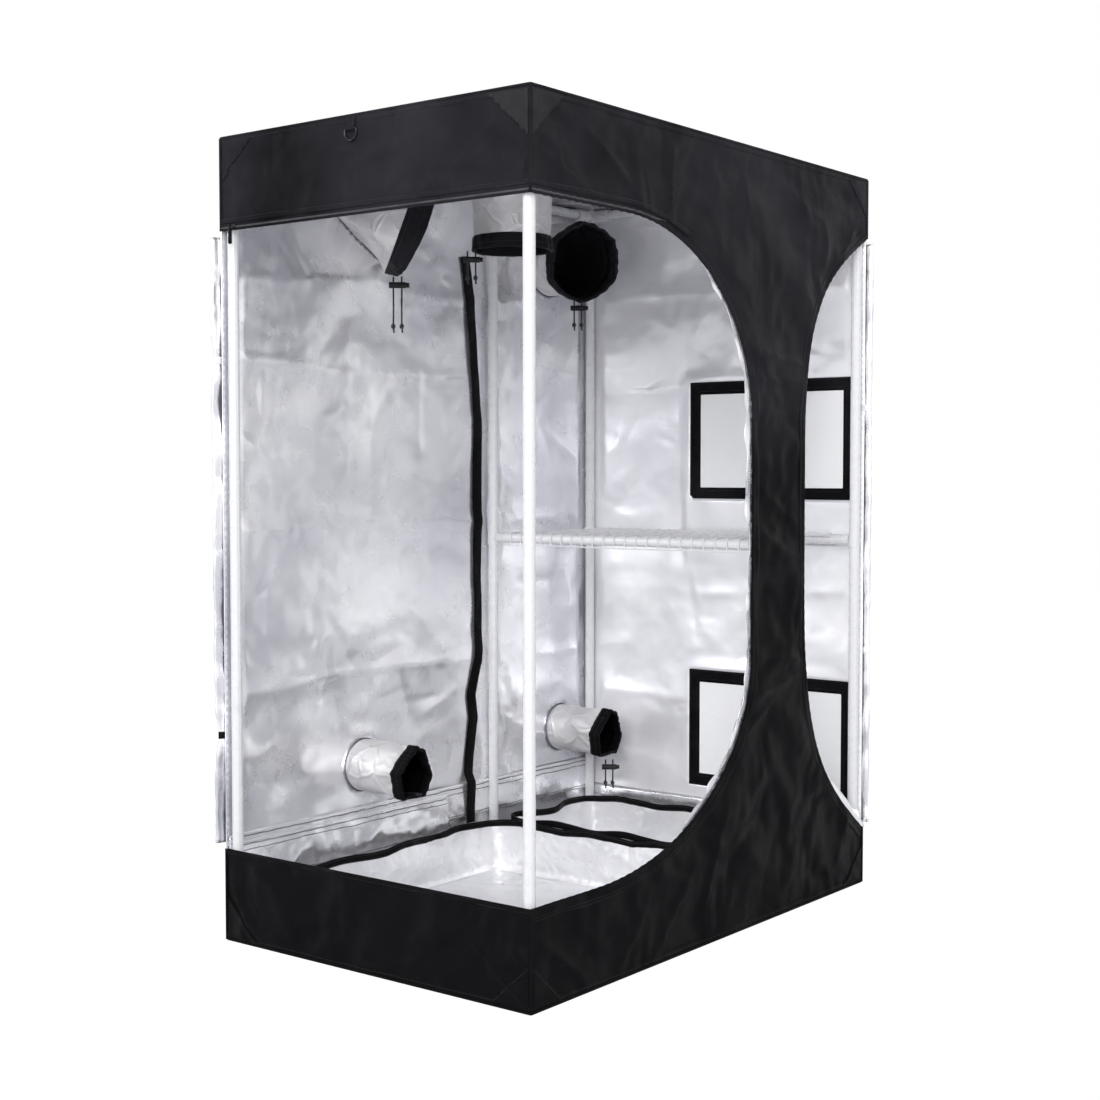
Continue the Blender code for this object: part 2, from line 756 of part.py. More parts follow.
def roof_and_floor():
    loops = [rectangle((-HALF_W, -HALF_D), (HALF_W, HALF_D))]
    hole = circle(ROOF_DUCT_PLACE, LARGE_DUCT / 2)
    place = (0, 0, TENT_HEIGHT - CLOTH / 2)
    panel("roof_panel", loops + [hole], place, FACING_UP, black_cloth("roof_panel"))
    panel("floor_panel", loops, (0, 0, CLOTH / 2), FACING_UP, silver_film("floor_panel"))


# Duct sleeves

def ring_points(centre, normal, across, radius, squash=1.0):
    """Points round a hoop. across gives the direction of its first point."""
    normal = normal.normalized()
    across = (across - normal * across.dot(normal)).normalized()
    other = normal.cross(across)
    points = []
    for i in range(SLEEVE_SIDES):
        a = math.tau * i / SLEEVE_SIDES
        points.append(centre + across * math.cos(a) * radius + other * math.sin(a) * radius * squash)
    return points


MOUTHS = {}


def sleeve(name, wall_centre, wall_normal, mouth_offset, mouth_normal, bore, length):
    """A soft tube with a sewn flange at the wall and a drawcord collar at its mouth."""
    across = Vector((1, 0, 0))
    inner, outer = bore / 2, bore / 2 + SLEEVE_WALL
    base = wall_centre + wall_normal * SEAT_GAP
    reach = mouth_offset.normalized() * length
    turned = mouth_normal.normalized()

    def station(t, radius, lift=0.0):
        """A hoop part of the way from the wall to the mouth."""
        bend = 3 * t * t - 2 * t * t * t
        straight = wall_normal * length * t
        centre = base + straight.lerp(reach * t, bend) + wall_normal * lift
        normal = wall_normal.lerp(turned, bend)
        return ring_points(centre, normal, across, radius)

    collar_start = 1 - COLLAR_LENGTH / length
    seam = SLEEVE_WALL
    rings = [
        ring_points(base, wall_normal, across, outer + SLEEVE_FLANGE),
        ring_points(base + wall_normal * seam, wall_normal, across, outer + SLEEVE_FLANGE),
        ring_points(base + wall_normal * seam, wall_normal, across, outer),
    ]
    middles = (1 / 4, 1 / 2)
    rings += [station(t * collar_start + t / ARC_STEPS, outer) for t in middles]
    rings += [
        station(collar_start, outer),
        station(collar_start, outer + COLLAR_RAISE),
        station(1, outer + COLLAR_RAISE),
        station(1, inner),
        station(collar_start, inner),
    ]
    rings += [station(t * collar_start + t / ARC_STEPS, inner) for t in reversed(middles)]
    rings += [ring_points(base, wall_normal, across, inner)]
    bm = bmesh.new()
    hoops = [[bm.verts.new(p) for p in ring] for ring in rings]
    for k in range(len(hoops)):
        this, after = hoops[k], hoops[(k + 1) % len(hoops)]
        for i in range(SLEEVE_SIDES):
            j = (i + 1) % SLEEVE_SIDES
            bm.faces.new((this[i], this[j], after[j], after[i]))
    mesh = mesh_from(bm, name)
    smooth(mesh)
    add(name, mesh, silver_film(name))
    MOUTHS[name] = station(1, outer + COLLAR_RAISE)


def sleeves():
    lengths = {SMALL_DUCT: SMALL_SLEEVE, LARGE_DUCT: LARGE_SLEEVE}
    for place, centre, bore, offset, facing in duct_places():
        wall = Vector((centre[0], BACK_FACE_Y, centre[1]))
        front = Vector((0, -1, 0))
        sleeve(f"{place}_sleeve", wall, front, Vector(offset), Vector(facing), bore, lengths[bore])
    roof = Vector((*ROOF_DUCT_PLACE, TENT_HEIGHT - CLOTH))
    down = Vector((0, 0, -1))
    sleeve("roof_sleeve", roof, down, down, down, LARGE_DUCT, ROOF_SLEEVE)


# Drawcords

def drawcord(place, heading, tail):
    """Both ends of a collar's drawcord, through a cord lock, with a knot in each end."""
    along = Vector((math.cos(heading), math.sin(heading), 0))
    mouth = MOUTHS[f"{place}_sleeve"]
    low = min(p.z for p in mouth)
    top = min((p for p in mouth if p.z - low < SLEEVE_WALL / 2), key=along.dot)
    cord_r = CORD_DIAMETER / 2
    crown = top - Vector((0, 0, cord_r + SEAT_GAP))
    half = CORD_SPACING / 2
    drop = Vector((0, 0, tail))
    route = [crown - along * half - drop]
    turn = min(CORD_TURN, half)
    for a in range(180, -1, -30):
        step = math.radians(a)
        reach = along * ((half - turn) * (1 if a < 90 else -1 if a > 90 else 0))
        rise = Vector((0, 0, turn * math.sin(step) - turn))
        route.append(crown + reach + along * turn * math.cos(step) + rise)
    route.append(crown + along * half - drop)
    name = f"{place}_drawcord"
    mat = black_cord(name)
    cord = as_mesh(add(name, tube_curve(name, route, cord_r, CORD_SIDES), mat))
    cord.data.materials.append(mat)
    for side in (-1, 1):
        bm = bmesh.new()
        centre = crown + along * half * side
        centre.z = crown.z - tail + KNOT_DROP
        spot = Matrix.Translation(centre)
        rows = CORD_SIDES // 2 + 1
        size = KNOT_DIAMETER / 2
        bmesh.ops.create_uvsphere(bm, u_segments=CORD_SIDES, v_segments=rows, radius=size, matrix=spot)
        knot = add(name + "_knot", mesh_from(bm, "knot"), mat)
        combine(cord, knot, "UNION")
    lock_z = crown.z - CORD_TURN - LOCK_DROP - LOCK_DIAMETER / 2
    cord_lock(place, Vector((crown.x, crown.y, lock_z)), along)


def cord_lock(place, centre, along):
    """A barrel with two bores for the cord and a push button at one end."""
    name = f"{place}_cord_lock"
    mat = black_plastic(name)
    bm = bmesh.new()
    half = LOCK_LENGTH / 2
    cylinder(bm, centre - along * half, centre + along * half, LOCK_DIAMETER / 2, POLE_SIDES)
    lock = add(name, mesh_from(bm, name), mat)
    bm = bmesh.new()
    tip = centre + along * (half + LOCK_BUTTON_LENGTH)
    cylinder(bm, centre + along * half / 2, tip, LOCK_BUTTON_DIAMETER / 2, POLE_SIDES)
    combine(lock, add(name + "_button", mesh_from(bm, "button"), mat), "UNION")
    for side in (-1, 1):
        bm = bmesh.new()
        spot = centre + along * CORD_SPACING / 2 * side
        drop = Vector((0, 0, LOCK_DIAMETER / 2 + CUT_OVERRUN))
        cylinder(bm, spot - drop, spot + drop, clear_radius(LOCK_BORE / 2, CORD_SIDES), CORD_SIDES)
        combine(lock, add(name + "_bore", mesh_from(bm, "bore"), mat), "DIFFERENCE")
    pivot(name, centre)


def drawcords():
    tails = (("upper_left", LONG_TAIL), ("lower_right", SHORT_TAIL), ("roof", SHORT_TAIL))
    for place, tail in tails:
        drawcord(place, math.radians(LOCK_HEADING), tail)


# Floor trays

def tray_rings(low, high):
    """Outline points and outward directions round a rectangle with round corners."""
    loop = rounded(low, high, TRAY_CORNER, steps=3)
    lengths = [math.dist(loop[i], loop[(i + 1) % len(loop)]) for i in range(len(loop))]
    total = sum(lengths)
    points = []
    for k in range(TRAY_POINTS):
        along = total * k / TRAY_POINTS
        i = 0
        while along > lengths[i]:
            along -= lengths[i]
            i += 1
        a, b = Vector(loop[i]), Vector(loop[(i + 1) % len(loop)])
        run = (b - a).normalized()
        points.append((a + run * along, Vector((run.y, -run.x)), total * k / TRAY_POINTS, total))
    return points


def tray(name, low, high):
    """A waterproof liner whose walls ripple where they stand free at the top."""
    outline = tray_rings(low, high)
    floor = WALL_LOW

    def ring(height_share, inset, ripple_share):
        points = []
        for place, outward, along, total in outline:
            waves = round(total / TRAY_WAVE_PITCH)
            phase = math.tau * waves * along / total
            push = TRAY_WAVE * ripple_share * (0.5 + 0.5 * math.sin(phase) * math.cos(phase / 3))
            spot = place - outward * (inset + push)
            lift = TRAY_RIPPLE * ripple_share * math.sin(2 * phase / 3)
            points.append((spot.x, spot.y, floor + TRAY_HEIGHT * height_share + lift))
        return points

    base_share = TRAY_WALL / TRAY_HEIGHT
    rings = [
        ring(0, 0, 0),
        ring(1 / 2, 0, 1 / 3),
        ring(1, 0, 1),
        ring(1, TRAY_WALL, 1),
        ring(1 / 2, TRAY_WALL, 1 / 3),
        ring(base_share, TRAY_WALL, 0),
    ]
    bm = bmesh.new()
    hoops = [[bm.verts.new(p) for p in points] for points in rings]
    for this, after in zip(hoops, hoops[1:]):
        for i in range(TRAY_POINTS):
            j = (i + 1) % TRAY_POINTS
            bm.faces.new((this[i], this[j], after[j], after[i]))
    bm.faces.new(hoops[0])
    bm.faces.new(hoops[-1])
    mesh = mesh_from(bm, name)
    smooth(mesh)
    add(name, mesh, silver_film(name))


def trays():
    """One liner each side of the middle posts, inside the base rails."""
    clear = SOCKET_R + TRAY_CLEARANCE
    half = POST_Y - clear
    tray("left_tray", (-POST_X + clear, -half), (DIVIDE_X - clear, half))
    tray("right_tray", (DIVIDE_X + clear, -half), (POST_X - clear, half))


# Rolled doors

def bundle(name, axis_place, heading, size, low_z, high_z):
    """A door rolled flat, from its sewn edge at axis_place towards heading, with two ties."""
    width, thickness = size
    along = Vector((math.cos(heading), math.sin(heading), 0))
    across = Vector((-along.y, along.x, 0))
    middle = axis_place + along * (width / 2 - thickness / 2)
    bm = bmesh.new()
    hoops = []
    for level in range(BUNDLE_LEVELS + 1):
        share = level / BUNDLE_LEVELS
        z = low_z + (high_z - low_z) * share
        nearest = min(abs(share - tie) for tie in TIE_SHARES) * (high_z - low_z)
        squeeze = 1 - TIE_SQUEEZE_SHARE * max(0.0, 1 - nearest / TIE_REACH)
        hoop = []
        for i in range(BUNDLE_SIDES):
            a = math.tau * i / BUNDLE_SIDES
            fold = 1 - FOLD_DEPTH_SHARE * (0.5 + 0.5 * math.cos(6 * a + 2 * share))
            reach = along * (width / 2 * math.cos(a) * squeeze)
            depth = across * (thickness / 2 * math.sin(a) * fold)
            spot = middle + reach + depth
            hoop.append(bm.verts.new((spot.x, spot.y, z)))
        hoops.append(hoop)
    for this, after in zip(hoops, hoops[1:]):
        for i in range(BUNDLE_SIDES):
            j = (i + 1) % BUNDLE_SIDES
            bm.faces.new((this[i], this[j], after[j], after[i]))
    bm.faces.new(hoops[0])
    bm.faces.new(hoops[-1])
    mesh = mesh_from(bm, name)
    smooth(mesh, 60.0)
    obj = add(name, mesh, black_cloth(name))
    return obj


def door_axis(side_x, side_y, thickness):
    """Where a door's sewn edge lies, just outside the corner of the cloth."""
    out = SEAT_GAP + thickness / 2
    return Vector((side_x * (HALF_W + out), side_y * (HALF_D + out), 0))


def doors():
    low, high = BASE_BAND + BUNDLE_END_GAP, TENT_HEIGHT - TOP_BAND - BUNDLE_END_GAP
    bundle("main_door_roll", door_axis(-1, 1, MAIN_BUNDLE[1]), 0.0, MAIN_BUNDLE, low, high)
    low, high = SMALL_DOOR_BASE + BUNDLE_END_GAP, TENT_HEIGHT - SMALL_DOOR_TOP - BUNDLE_END_GAP
    bundle("small_door_roll", door_axis(1, -1, SMALL_BUNDLE[1]), math.pi / 2, SMALL_BUNDLE, low, high)


# Small hardware

def d_ring():
    name = "d_ring"
    centre = ring_bar_place()
    half = RING_WIDTH / 2
    bend = RING_WIRE
    bow = [(centre.y - half + bend, centre.z), (centre.y + half - bend, centre.z)]
    bow += [(centre.y + half, centre.z - bend)]
    bow += arc((centre.y, centre.z - RING_DROP / 2), (half, half), 0, -180, POLE_SIDES)
    bow += [(centre.y - half, centre.z - bend)]
    route = [(centre.x, y, z) for y, z in bow]
    add(name, tube_curve(name, route, RING_WIRE / 2, CORD_SIDES, cyclic=True), plated_wire(name))


def slider_place():
    """The middle of the slider's inner face, on the band's lower edge near the back."""
    y = SIDE_HALF - SLIDER_END_GAP
    z = TENT_HEIGHT - TOP_BAND + SLIDER_BAND_OVERLAP
    return Vector((-HALF_W - SEAT_GAP, y, z))


def zip_slider():
    """A zip slider with a wire bridge that carries the pull."""
    name = "zip_slider"
    mat = plated_wire(name)
    place = slider_place()
    bm = bmesh.new()
    size = Matrix.Diagonal((SLIDER_THICKNESS, SLIDER_LENGTH, SLIDER_HEIGHT, 1))
    spot = Matrix.Translation(place - Vector((SLIDER_THICKNESS / 2, 0, 0)))
    bmesh.ops.create_cube(bm, size=1, matrix=spot @ size)
    body = add(name, mesh_from(bm, name), mat)
    bevel = body.modifiers.new("edges", "BEVEL")
    bevel.width = SLIDER_THICKNESS / 4
    bevel.segments = 2
    face = place.x - SLIDER_THICKNESS
    out = face - SLIDER_ARCH
    foot = SLIDER_LENGTH / 3
    root = face + SLIDER_WIRE
    route = [
        (root, place.y - foot, place.z),
        (out + SLIDER_WIRE, place.y - foot, place.z),
        (out, place.y - foot + SLIDER_WIRE, place.z),
        (out, place.y + foot - SLIDER_WIRE, place.z),
        (out + SLIDER_WIRE, place.y + foot, place.z),
        (root, place.y + foot, place.z),
    ]
    bridge = add("slider_bridge", tube_curve("slider_bridge", route, SLIDER_WIRE / 2, CORD_SIDES), mat)
    combine(body, as_mesh(bridge), "UNION")


def zip_pull():
    """A flat tongue hung on the slider's bridge."""
    name = "zip_pull"
    place = slider_place()
    x = place.x - SLIDER_THICKNESS - SLIDER_ARCH
    hole = SLIDER_WIRE / 2 + 2 * SEAT_GAP
    half = PULL_WIDTH / 2
    top = place.z
    loop = arc((x, top), (half, half), 0, 180)
    loop += arc((x, top - PULL_LENGTH + half), (half, half), 180, 360)
    holes = circle((x, top), clear_radius(hole, POLE_SIDES), POLE_SIDES)
    panel(name, [loop, holes], (0, place.y, 0), FACING_FRONT, plated_wire(name), PULL_THICKNESS)


def pivot(name, place):
    """Moves a piece's origin onto its joint, and leaves the shape where it is."""
    bpy.context.view_layer.update()
    obj = bpy.data.objects[name]
    turn = obj.matrix_world.to_3x3().to_4x4()
    moved = Matrix.Translation(place) @ turn
    obj.data.transform(moved.inverted() @ obj.matrix_world)
    obj.matrix_world = moved


def pivots():
    """The joints that the moving pieces turn on, and a middle for each piece that slides."""
    middle_z = TENT_HEIGHT / 2
    pivot("main_door_roll", door_axis(-1, 1, MAIN_BUNDLE[1]) + Vector((0, 0, middle_z)))
    pivot("small_door_roll", door_axis(1, -1, SMALL_BUNDLE[1]) + Vector((0, 0, middle_z)))
    for level, height in zip(("lower", "upper"), VENT_HEIGHTS):
        foot = vent_hole(height, FLAP_OVERLAP)[0][1]
        pivot(f"{level}_vent_flap", Vector((HALF_W + SEAT_GAP + CLOTH / 2, VENT_CENTRE_Y, foot)))
    pivot("d_ring", ring_bar_place())
    pivot("zip_slider", slider_place())
    pivot("zip_pull", slider_place() - Vector((SLIDER_THICKNESS + SLIDER_ARCH, 0, 0)))
    pivot("wire_shelf", Vector(((DIVIDE_X + POST_X) / 2, 0, SHELF_RAIL_HEIGHT)))
    pivot("left_tray", Vector(((DIVIDE_X - POST_X) / 2, 0, WALL_LOW)))
    pivot("right_tray", Vector(((DIVIDE_X + POST_X) / 2, 0, WALL_LOW)))
    for i, share in enumerate(BAR_PLACE_SHARES, start=1):
        pivot(f"hanging_bar_{i}", Vector((POST_X * share, 0, HIGH_Z)))


def build():
    connectors()
    poles()
    hanging_bars()
    shelf_rails()
    shelf()
    roof_and_floor()
    front_panel()
    left_bands()
    right_wall()
    back_wall()
    vents()
    sleeves()
    drawcords()
    trays()
    doors()
    d_ring()
    zip_slider()
    zip_pull()
    pivots()


build()
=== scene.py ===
"""Looks of the indoor grow tent: its cloth, film, nets, cords and finishes, round the fixed frame.

Metres, +Z up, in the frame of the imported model. The front faces -Y and the open side is -X.
"""

import math

import bpy
import numpy as np
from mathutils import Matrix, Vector
from mathutils.geometry import delaunay_2d_cdt


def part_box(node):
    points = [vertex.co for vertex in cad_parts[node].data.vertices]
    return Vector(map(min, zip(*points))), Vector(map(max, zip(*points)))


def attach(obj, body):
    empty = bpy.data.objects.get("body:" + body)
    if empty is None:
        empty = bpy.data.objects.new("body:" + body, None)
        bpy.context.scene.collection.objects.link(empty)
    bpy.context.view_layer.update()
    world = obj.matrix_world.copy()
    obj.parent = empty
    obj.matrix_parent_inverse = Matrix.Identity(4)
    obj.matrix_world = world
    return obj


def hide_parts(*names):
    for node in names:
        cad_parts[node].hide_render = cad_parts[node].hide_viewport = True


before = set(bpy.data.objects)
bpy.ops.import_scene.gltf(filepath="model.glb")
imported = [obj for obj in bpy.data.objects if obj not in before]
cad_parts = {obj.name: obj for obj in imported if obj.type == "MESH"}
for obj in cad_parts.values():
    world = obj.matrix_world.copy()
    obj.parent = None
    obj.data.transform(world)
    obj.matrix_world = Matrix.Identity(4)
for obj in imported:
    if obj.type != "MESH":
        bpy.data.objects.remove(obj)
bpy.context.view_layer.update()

# Sizes of the model that the cloth is fitted to
HALF_W, HALF_D = 0.515, 0.330
CLOTH_FOOT, CLOTH_TOP, SIDE_HALF = 0.0015, 1.3486, 0.3285
POST_X, POST_Y, DIVIDE_X = 0.501, 0.316, 0.177
LONG_POSTS, SIDE_POSTS = (-POST_X, DIVIDE_X, POST_X), (-POST_Y, POST_Y)
BAND_LOW, BASE_TOP = 1.195, 0.157
COLUMN_LEFT, COLUMN_RIGHT = 0.100, 0.281
VENT_Y = -0.120
VENT_Z = (0.2675, 0.8575)
# The upper vent cover's foot, which it folds about, and the plane of both covers outside the wall
COVER_FOOT, COVER_X = 0.736, 0.5159
SMALL_BORE, LARGE_BORE = 0.094, 0.144
# The back wall's ducts: each one's name, centre, bore, length and heading
DUCTS = (
    ("lower_left", (-0.183, 0.255), SMALL_BORE, 0.132, (0.0, -1.0, -0.04)),
    ("lower_right", (0.412, 0.255), SMALL_BORE, 0.132, (0.0, -1.0, -0.04)),
    ("upper_left", (-0.183, 1.232), LARGE_BORE, 0.112, (0.24, -1.0, -0.16)),
    ("upper_right", (0.372, 1.232), LARGE_BORE, 0.112, (-0.18, -1.0, -0.12)),
)
ROOF_DUCT = (0.021, 0.140)
CLOTH = 0.0009
STITCH_STEP = 0.01


# Camera

def place_camera():
    camera = bpy.data.objects.new("camera", bpy.data.cameras.new("camera"))
    bpy.context.scene.collection.objects.link(camera)
    yaw, pitch = math.radians(52.148), math.radians(-2.644)
    facing = Vector((math.sin(yaw) * math.cos(pitch), math.cos(yaw) * math.cos(pitch), math.sin(pitch)))
    camera.location = (-2.43887, -1.86028, 0.79575)
    camera.rotation_euler = facing.to_track_quat("-Z", "Y").to_euler()
    camera.data.lens = 55.757
    camera.data.sensor_width = 36
    camera.data.clip_end = 60
    bpy.context.scene.camera = camera


place_camera()


# Materials

class Look:
    """A node material, with short calls that add and join its nodes."""

    def __init__(self, name, **sockets):
        self.mat = bpy.data.materials.new(name)
        self.mat.use_nodes = True
        self.tree = self.mat.node_tree
        self.shader = self.tree.nodes["Principled BSDF"]
        for key, value in sockets.items():
            self.put(self.shader.inputs[key.replace("_", " ").title().replace("Ior", "IOR")], value)
        self.where = self.add("TexCoord").outputs["Object"]

    def put(self, socket, value):
        if isinstance(value, bpy.types.NodeSocket):
            self.tree.links.new(value, socket)
        else:
            socket.default_value = value

    def add(self, kind, inputs=None, **settings):
        made = self.tree.nodes.new("ShaderNode" + kind)
        for key, value in settings.items():
            setattr(made, key, value)
        for key, value in (inputs or {}).items():
            self.put(made.inputs[key], value)
        return made

    def noise(self, scale, detail=4.0, kind="FBM", where=None, distortion=0.0):
        inputs = {"Vector": where or self.where, "Scale": scale, "Detail": detail, "Distortion": distortion}
        return self.add("TexNoise", inputs, noise_type=kind).outputs["Fac"]

    def cells(self, scale, feature, where):
        return self.add("TexVoronoi", {"Vector": where, "Scale": scale}, feature=feature).outputs["Distance"]

    def wave(self, scale, direction, distortion=0.0):
        inputs = {"Vector": self.where, "Scale": scale, "Distortion": distortion}
        return self.add("TexWave", inputs, bands_direction=direction).outputs["Fac"]

    def warped(self, scale, amount):
        """Coordinates pushed about by noise."""
        noise = self.add("TexNoise", {"Vector": self.where, "Scale": scale, "Detail": 3.0}).outputs["Color"]
        shift = self.add("VectorMath", {0: noise, 1: (amount, amount, amount)}, operation="MULTIPLY")
        return self.add("VectorMath", {0: self.where, 1: shift.outputs[0]}, operation="ADD").outputs[0]

    def maths(self, operation, first, second, third=0.0):
        return self.add("Math", {0: first, 1: second, 2: third}, operation=operation).outputs[0]

    def ramp(self, fac, stops):
        node = self.add("ValToRGB", {"Fac": fac})
        ramp = node.color_ramp
        while len(ramp.elements) < len(stops):
            ramp.elements.new(0.5)
        for element, (place, color) in zip(ramp.elements, stops):
            element.position = place
            element.color = (*color, 1.0)
        return node.outputs["Color"]

    def color(self, fac, *stops):
        self.put(self.shader.inputs["Base Color"], self.ramp(fac, stops))

    def rough(self, low, high, scale, detail=4.0):
        """Roughness that wanders between two values."""
        inputs = {"Value": self.noise(scale, detail), "To Min": low, "To Max": high}
        self.put(self.shader.inputs["Roughness"], self.add("MapRange", inputs).outputs["Result"])

    def bumps(self, *layers):
        """Joins (height, strength, distance) layers into one normal."""
        normal = None
        for height, strength, distance in layers:
            inputs = {"Height": height, "Strength": strength, "Distance": distance}
            if normal is not None:
                inputs["Normal"] = normal
            normal = self.add("Bump", inputs).outputs["Normal"]
        self.put(self.shader.inputs["Normal"], normal)


def black_cloth(name="black_cloth", lift=0.0):
    """Coated woven cloth: a fine weave and soft creases. Its colour holds painted light: it grows lighter
    towards the top, and its pale, slightly blue patches are a painted sheen over a dark random tone.
    """
    look = Look(name, specular_ior_level=0.030)
    height = look.add("SeparateXYZ", {0: look.where}).outputs["Z"]
    # painted light: the height term makes the cloth lighter towards the top, as though lit from above; the
    # noise gives random tone
    tone_and_painted_light = look.maths("MULTIPLY_ADD", look.noise(3.5, 4.0), 0.6, look.maths("MULTIPLY", height, 0.30))
    # the pale bluish last stop is painted sheen
    shades = (
        (0.20, (0.0060, 0.0060, 0.0068)), (0.52, (0.0050, 0.0049, 0.0058)), (0.80, (0.0290, 0.0280, 0.0340)),
    )
    look.color(tone_and_painted_light, *((place, tuple(c + lift for c in shade)) for place, shade in shades))
    look.rough(0.30, 0.56, 11.0)
    weave = look.maths("MULTIPLY", look.wave(260.0, "X", 0.4), look.wave(260.0, "Z", 0.4))
    creases = look.noise(13.0, 6.0, "RIDGED_MULTIFRACTAL", distortion=0.3)
    billow = look.noise(6.5, 2.0, distortion=0.35)
    look.bumps(
        (billow, 1.0, 0.055),
        (creases, 0.85, 0.0085),
        (look.noise(46.0, 5.0), 0.35, 0.0012),
        (weave, 0.25, 0.0003),
    )
    return look.mat


def silver_film(name, low, high, metal, rough):
    """Reflective film that has been folded and unpacked: long sharp creases between soft flat fields."""
    look = Look(name, metallic=metal, specular_ior_level=0.5)
    look.color(look.noise(3.6, 9.0), (0.34, low), (0.64, high))
    look.rough(*rough, 13.0, 6.0)
    warped = look.warped(5.0, 0.10)
    look.bumps(
        (look.noise(3.4, 2.0, where=warped), 0.55, 0.042),
        (look.noise(7.5, 1.5, distortion=0.6), 0.45, 0.016),
        (look.noise(5.0, 2.2, "RIDGED_MULTIFRACTAL", where=warped), 0.70, 0.0240),
        (look.noise(15.0, 2.0, "RIDGED_MULTIFRACTAL", where=warped), 0.55, 0.0060),
        (look.noise(120.0, 4.0), 0.12, 0.0006),
    )
    return look.mat


def sleeve_film():
    """The paler lining cloth of the duct sleeves, matt and a little cream."""
    look = Look("sleeve_film", metallic=0.40, specular_ior_level=0.4)
    look.color(look.noise(14.0, 6.0), (0.30, (0.60, 0.595, 0.605)), (0.70, (0.82, 0.81, 0.815)))
    look.rough(0.36, 0.54, 30.0, 5.0)
    warped = look.warped(10.0, 0.06)
    edge = look.cells(22.0, "DISTANCE_TO_EDGE", warped)
    fold = look.ramp(edge, ((0.0, (1, 1, 1)), (0.12, (0, 0, 0))))
    ridges = look.noise(26.0, 7.0, "RIDGED_MULTIFRACTAL", where=warped)
    look.bumps((fold, 0.65, 0.0024), (ridges, 0.65, 0.0034), (look.noise(200.0, 3.0), 0.2, 0.0004))
    return look.mat


def tray_film():
    """Bright liner film with small diamond facets that sparkle."""
    look = Look("tray_film", metallic=0.45)
    look.color(look.noise(8.0, 6.0), (0.32, (0.80, 0.80, 0.83)), (0.66, (0.94, 0.94, 0.95)))
    look.rough(0.24, 0.42, 30.0)
    warped = look.warped(12.0, 0.03)
    look.bumps(
        (look.noise(14.0, 2.0, where=warped), 0.6, 0.0120),
        (look.noise(40.0, 2.0), 0.6, 0.0050),
        (look.cells(70.0, "SMOOTH_F1", warped), 0.60, 0.0030),
    )
    return look.mat


def white_paint():
    """Powder coat on steel tube: glossy, with a slight orange peel and faint handling marks."""
    look = Look("white_paint", coat_weight=0.35, coat_roughness=0.12)
    marks = look.noise(34.0, 8.0, "RIDGED_MULTIFRACTAL")
    look.color(marks, (0.30, (0.76, 0.76, 0.78)), (0.90, (0.69, 0.69, 0.71)))
    look.rough(0.20, 0.36, 60.0)
    look.bumps((look.noise(420.0, 2.0), 0.12, 0.0003))
    return look.mat


def moulded(name, pale, dark, rough, gloss=0.5):
    """Moulded plastic with a fine spark-eroded grain."""
    look = Look(name, specular_ior_level=gloss)
    look.color(look.noise(40.0, 5.0), (0.3, dark), (0.7, pale))
    look.rough(rough, rough + 0.14, 90.0)
    look.bumps((look.noise(900.0, 3.0), 0.20, 0.0002))
    return look.mat


def plated_wire():
    """Dull black nickel plate, worn a little brighter in places."""
    look = Look("plated_wire", metallic=1.0)
    look.color(look.noise(120.0, 6.0), (0.40, (0.020, 0.020, 0.022)), (0.85, (0.14, 0.14, 0.145)))
    look.rough(0.25, 0.45, 200.0)
    look.bumps((look.noise(500.0), 0.15, 0.0002))
    return look.mat


def net_cloth():
    """Fine white net: a square mesh of threads over a pale ground."""
    look = Look("white_net", sheen_weight=0.2, specular_ior_level=0.3)
    mesh = look.maths("MAXIMUM", look.wave(130.0, "Y"), look.wave(130.0, "Z"))
    look.color(mesh, (0.10, (0.88, 0.88, 0.90)), (0.75, (0.985, 0.985, 0.99)))
    look.rough(0.55, 0.80, 50.0)
    look.bumps((mesh, 0.35, 0.0006), (look.noise(9.0, 5.0), 0.3, 0.004))
    return look.mat


def braid():
    """Black braided cord."""
    look = Look("black_cord", sheen_weight=0.2)
    look.color(look.noise(300.0), (0.3, (0.010,) * 3), (0.7, (0.028,) * 3))
    look.rough(0.65, 0.85, 200.0)
    look.bumps((look.wave(210.0, "DIAGONAL", 1.5), 0.6, 0.0005))
    return look.mat


def thread(name, color):
    look = Look(name, sheen_weight=0.2)
    look.color(look.noise(500.0), (0.3, tuple(c * 0.6 for c in color)), (0.7, color))
    look.rough(0.5, 0.7, 700.0)
    return look.mat


BLACK = black_cloth()
TAPE = black_cloth("black_tape", 0.0005)
# painted highlight: a lighter copy of the black cloth for the patches at the near top corner
PAINTED_HIGHLIGHT_CLOTH = black_cloth("painted_highlight_cloth", 0.014)
SILVER = silver_film("silver_film", (0.70, 0.70, 0.75), (0.97, 0.97, 0.99), 0.80, (0.20, 0.33))
# painted light: a paler, less metallic copy of the silver film, which makes the right wall's lining look
# more lit than the back wall's; the door edges and ties wear it too
PAINTED_LIT_FILM = silver_film("painted_lit_film", (0.86, 0.86, 0.90), (0.98, 0.98, 0.99), 0.40, (0.26, 0.42))
CREAM = sleeve_film()
LINER = tray_film()
PAINT = white_paint()
PLASTIC = moulded("white_plastic", (0.82, 0.82, 0.84), (0.74, 0.74, 0.76), 0.34)
LOCK = moulded("black_plastic", (0.016, 0.016, 0.018), (0.006, 0.006, 0.007), 0.26, 0.2)
PLATE = plated_wire()
NET = net_cloth()
BRAID = braid()
BLACK_THREAD = thread("black_thread", (0.016, 0.016, 0.018))
GREY_THREAD = thread("grey_thread", (0.42, 0.42, 0.46))
SEAM_THREAD = thread("seam_thread", (0.10, 0.10, 0.11))
# painted glint: the coil's plastic is a grey well lighter than the black cloth, so that the front and left
# zips show light double lines
PAINTED_GLINT_COIL = moulded("zip_coil", (0.075, 0.075, 0.085), (0.025, 0.025, 0.028), 0.26)


# Repeatable creases

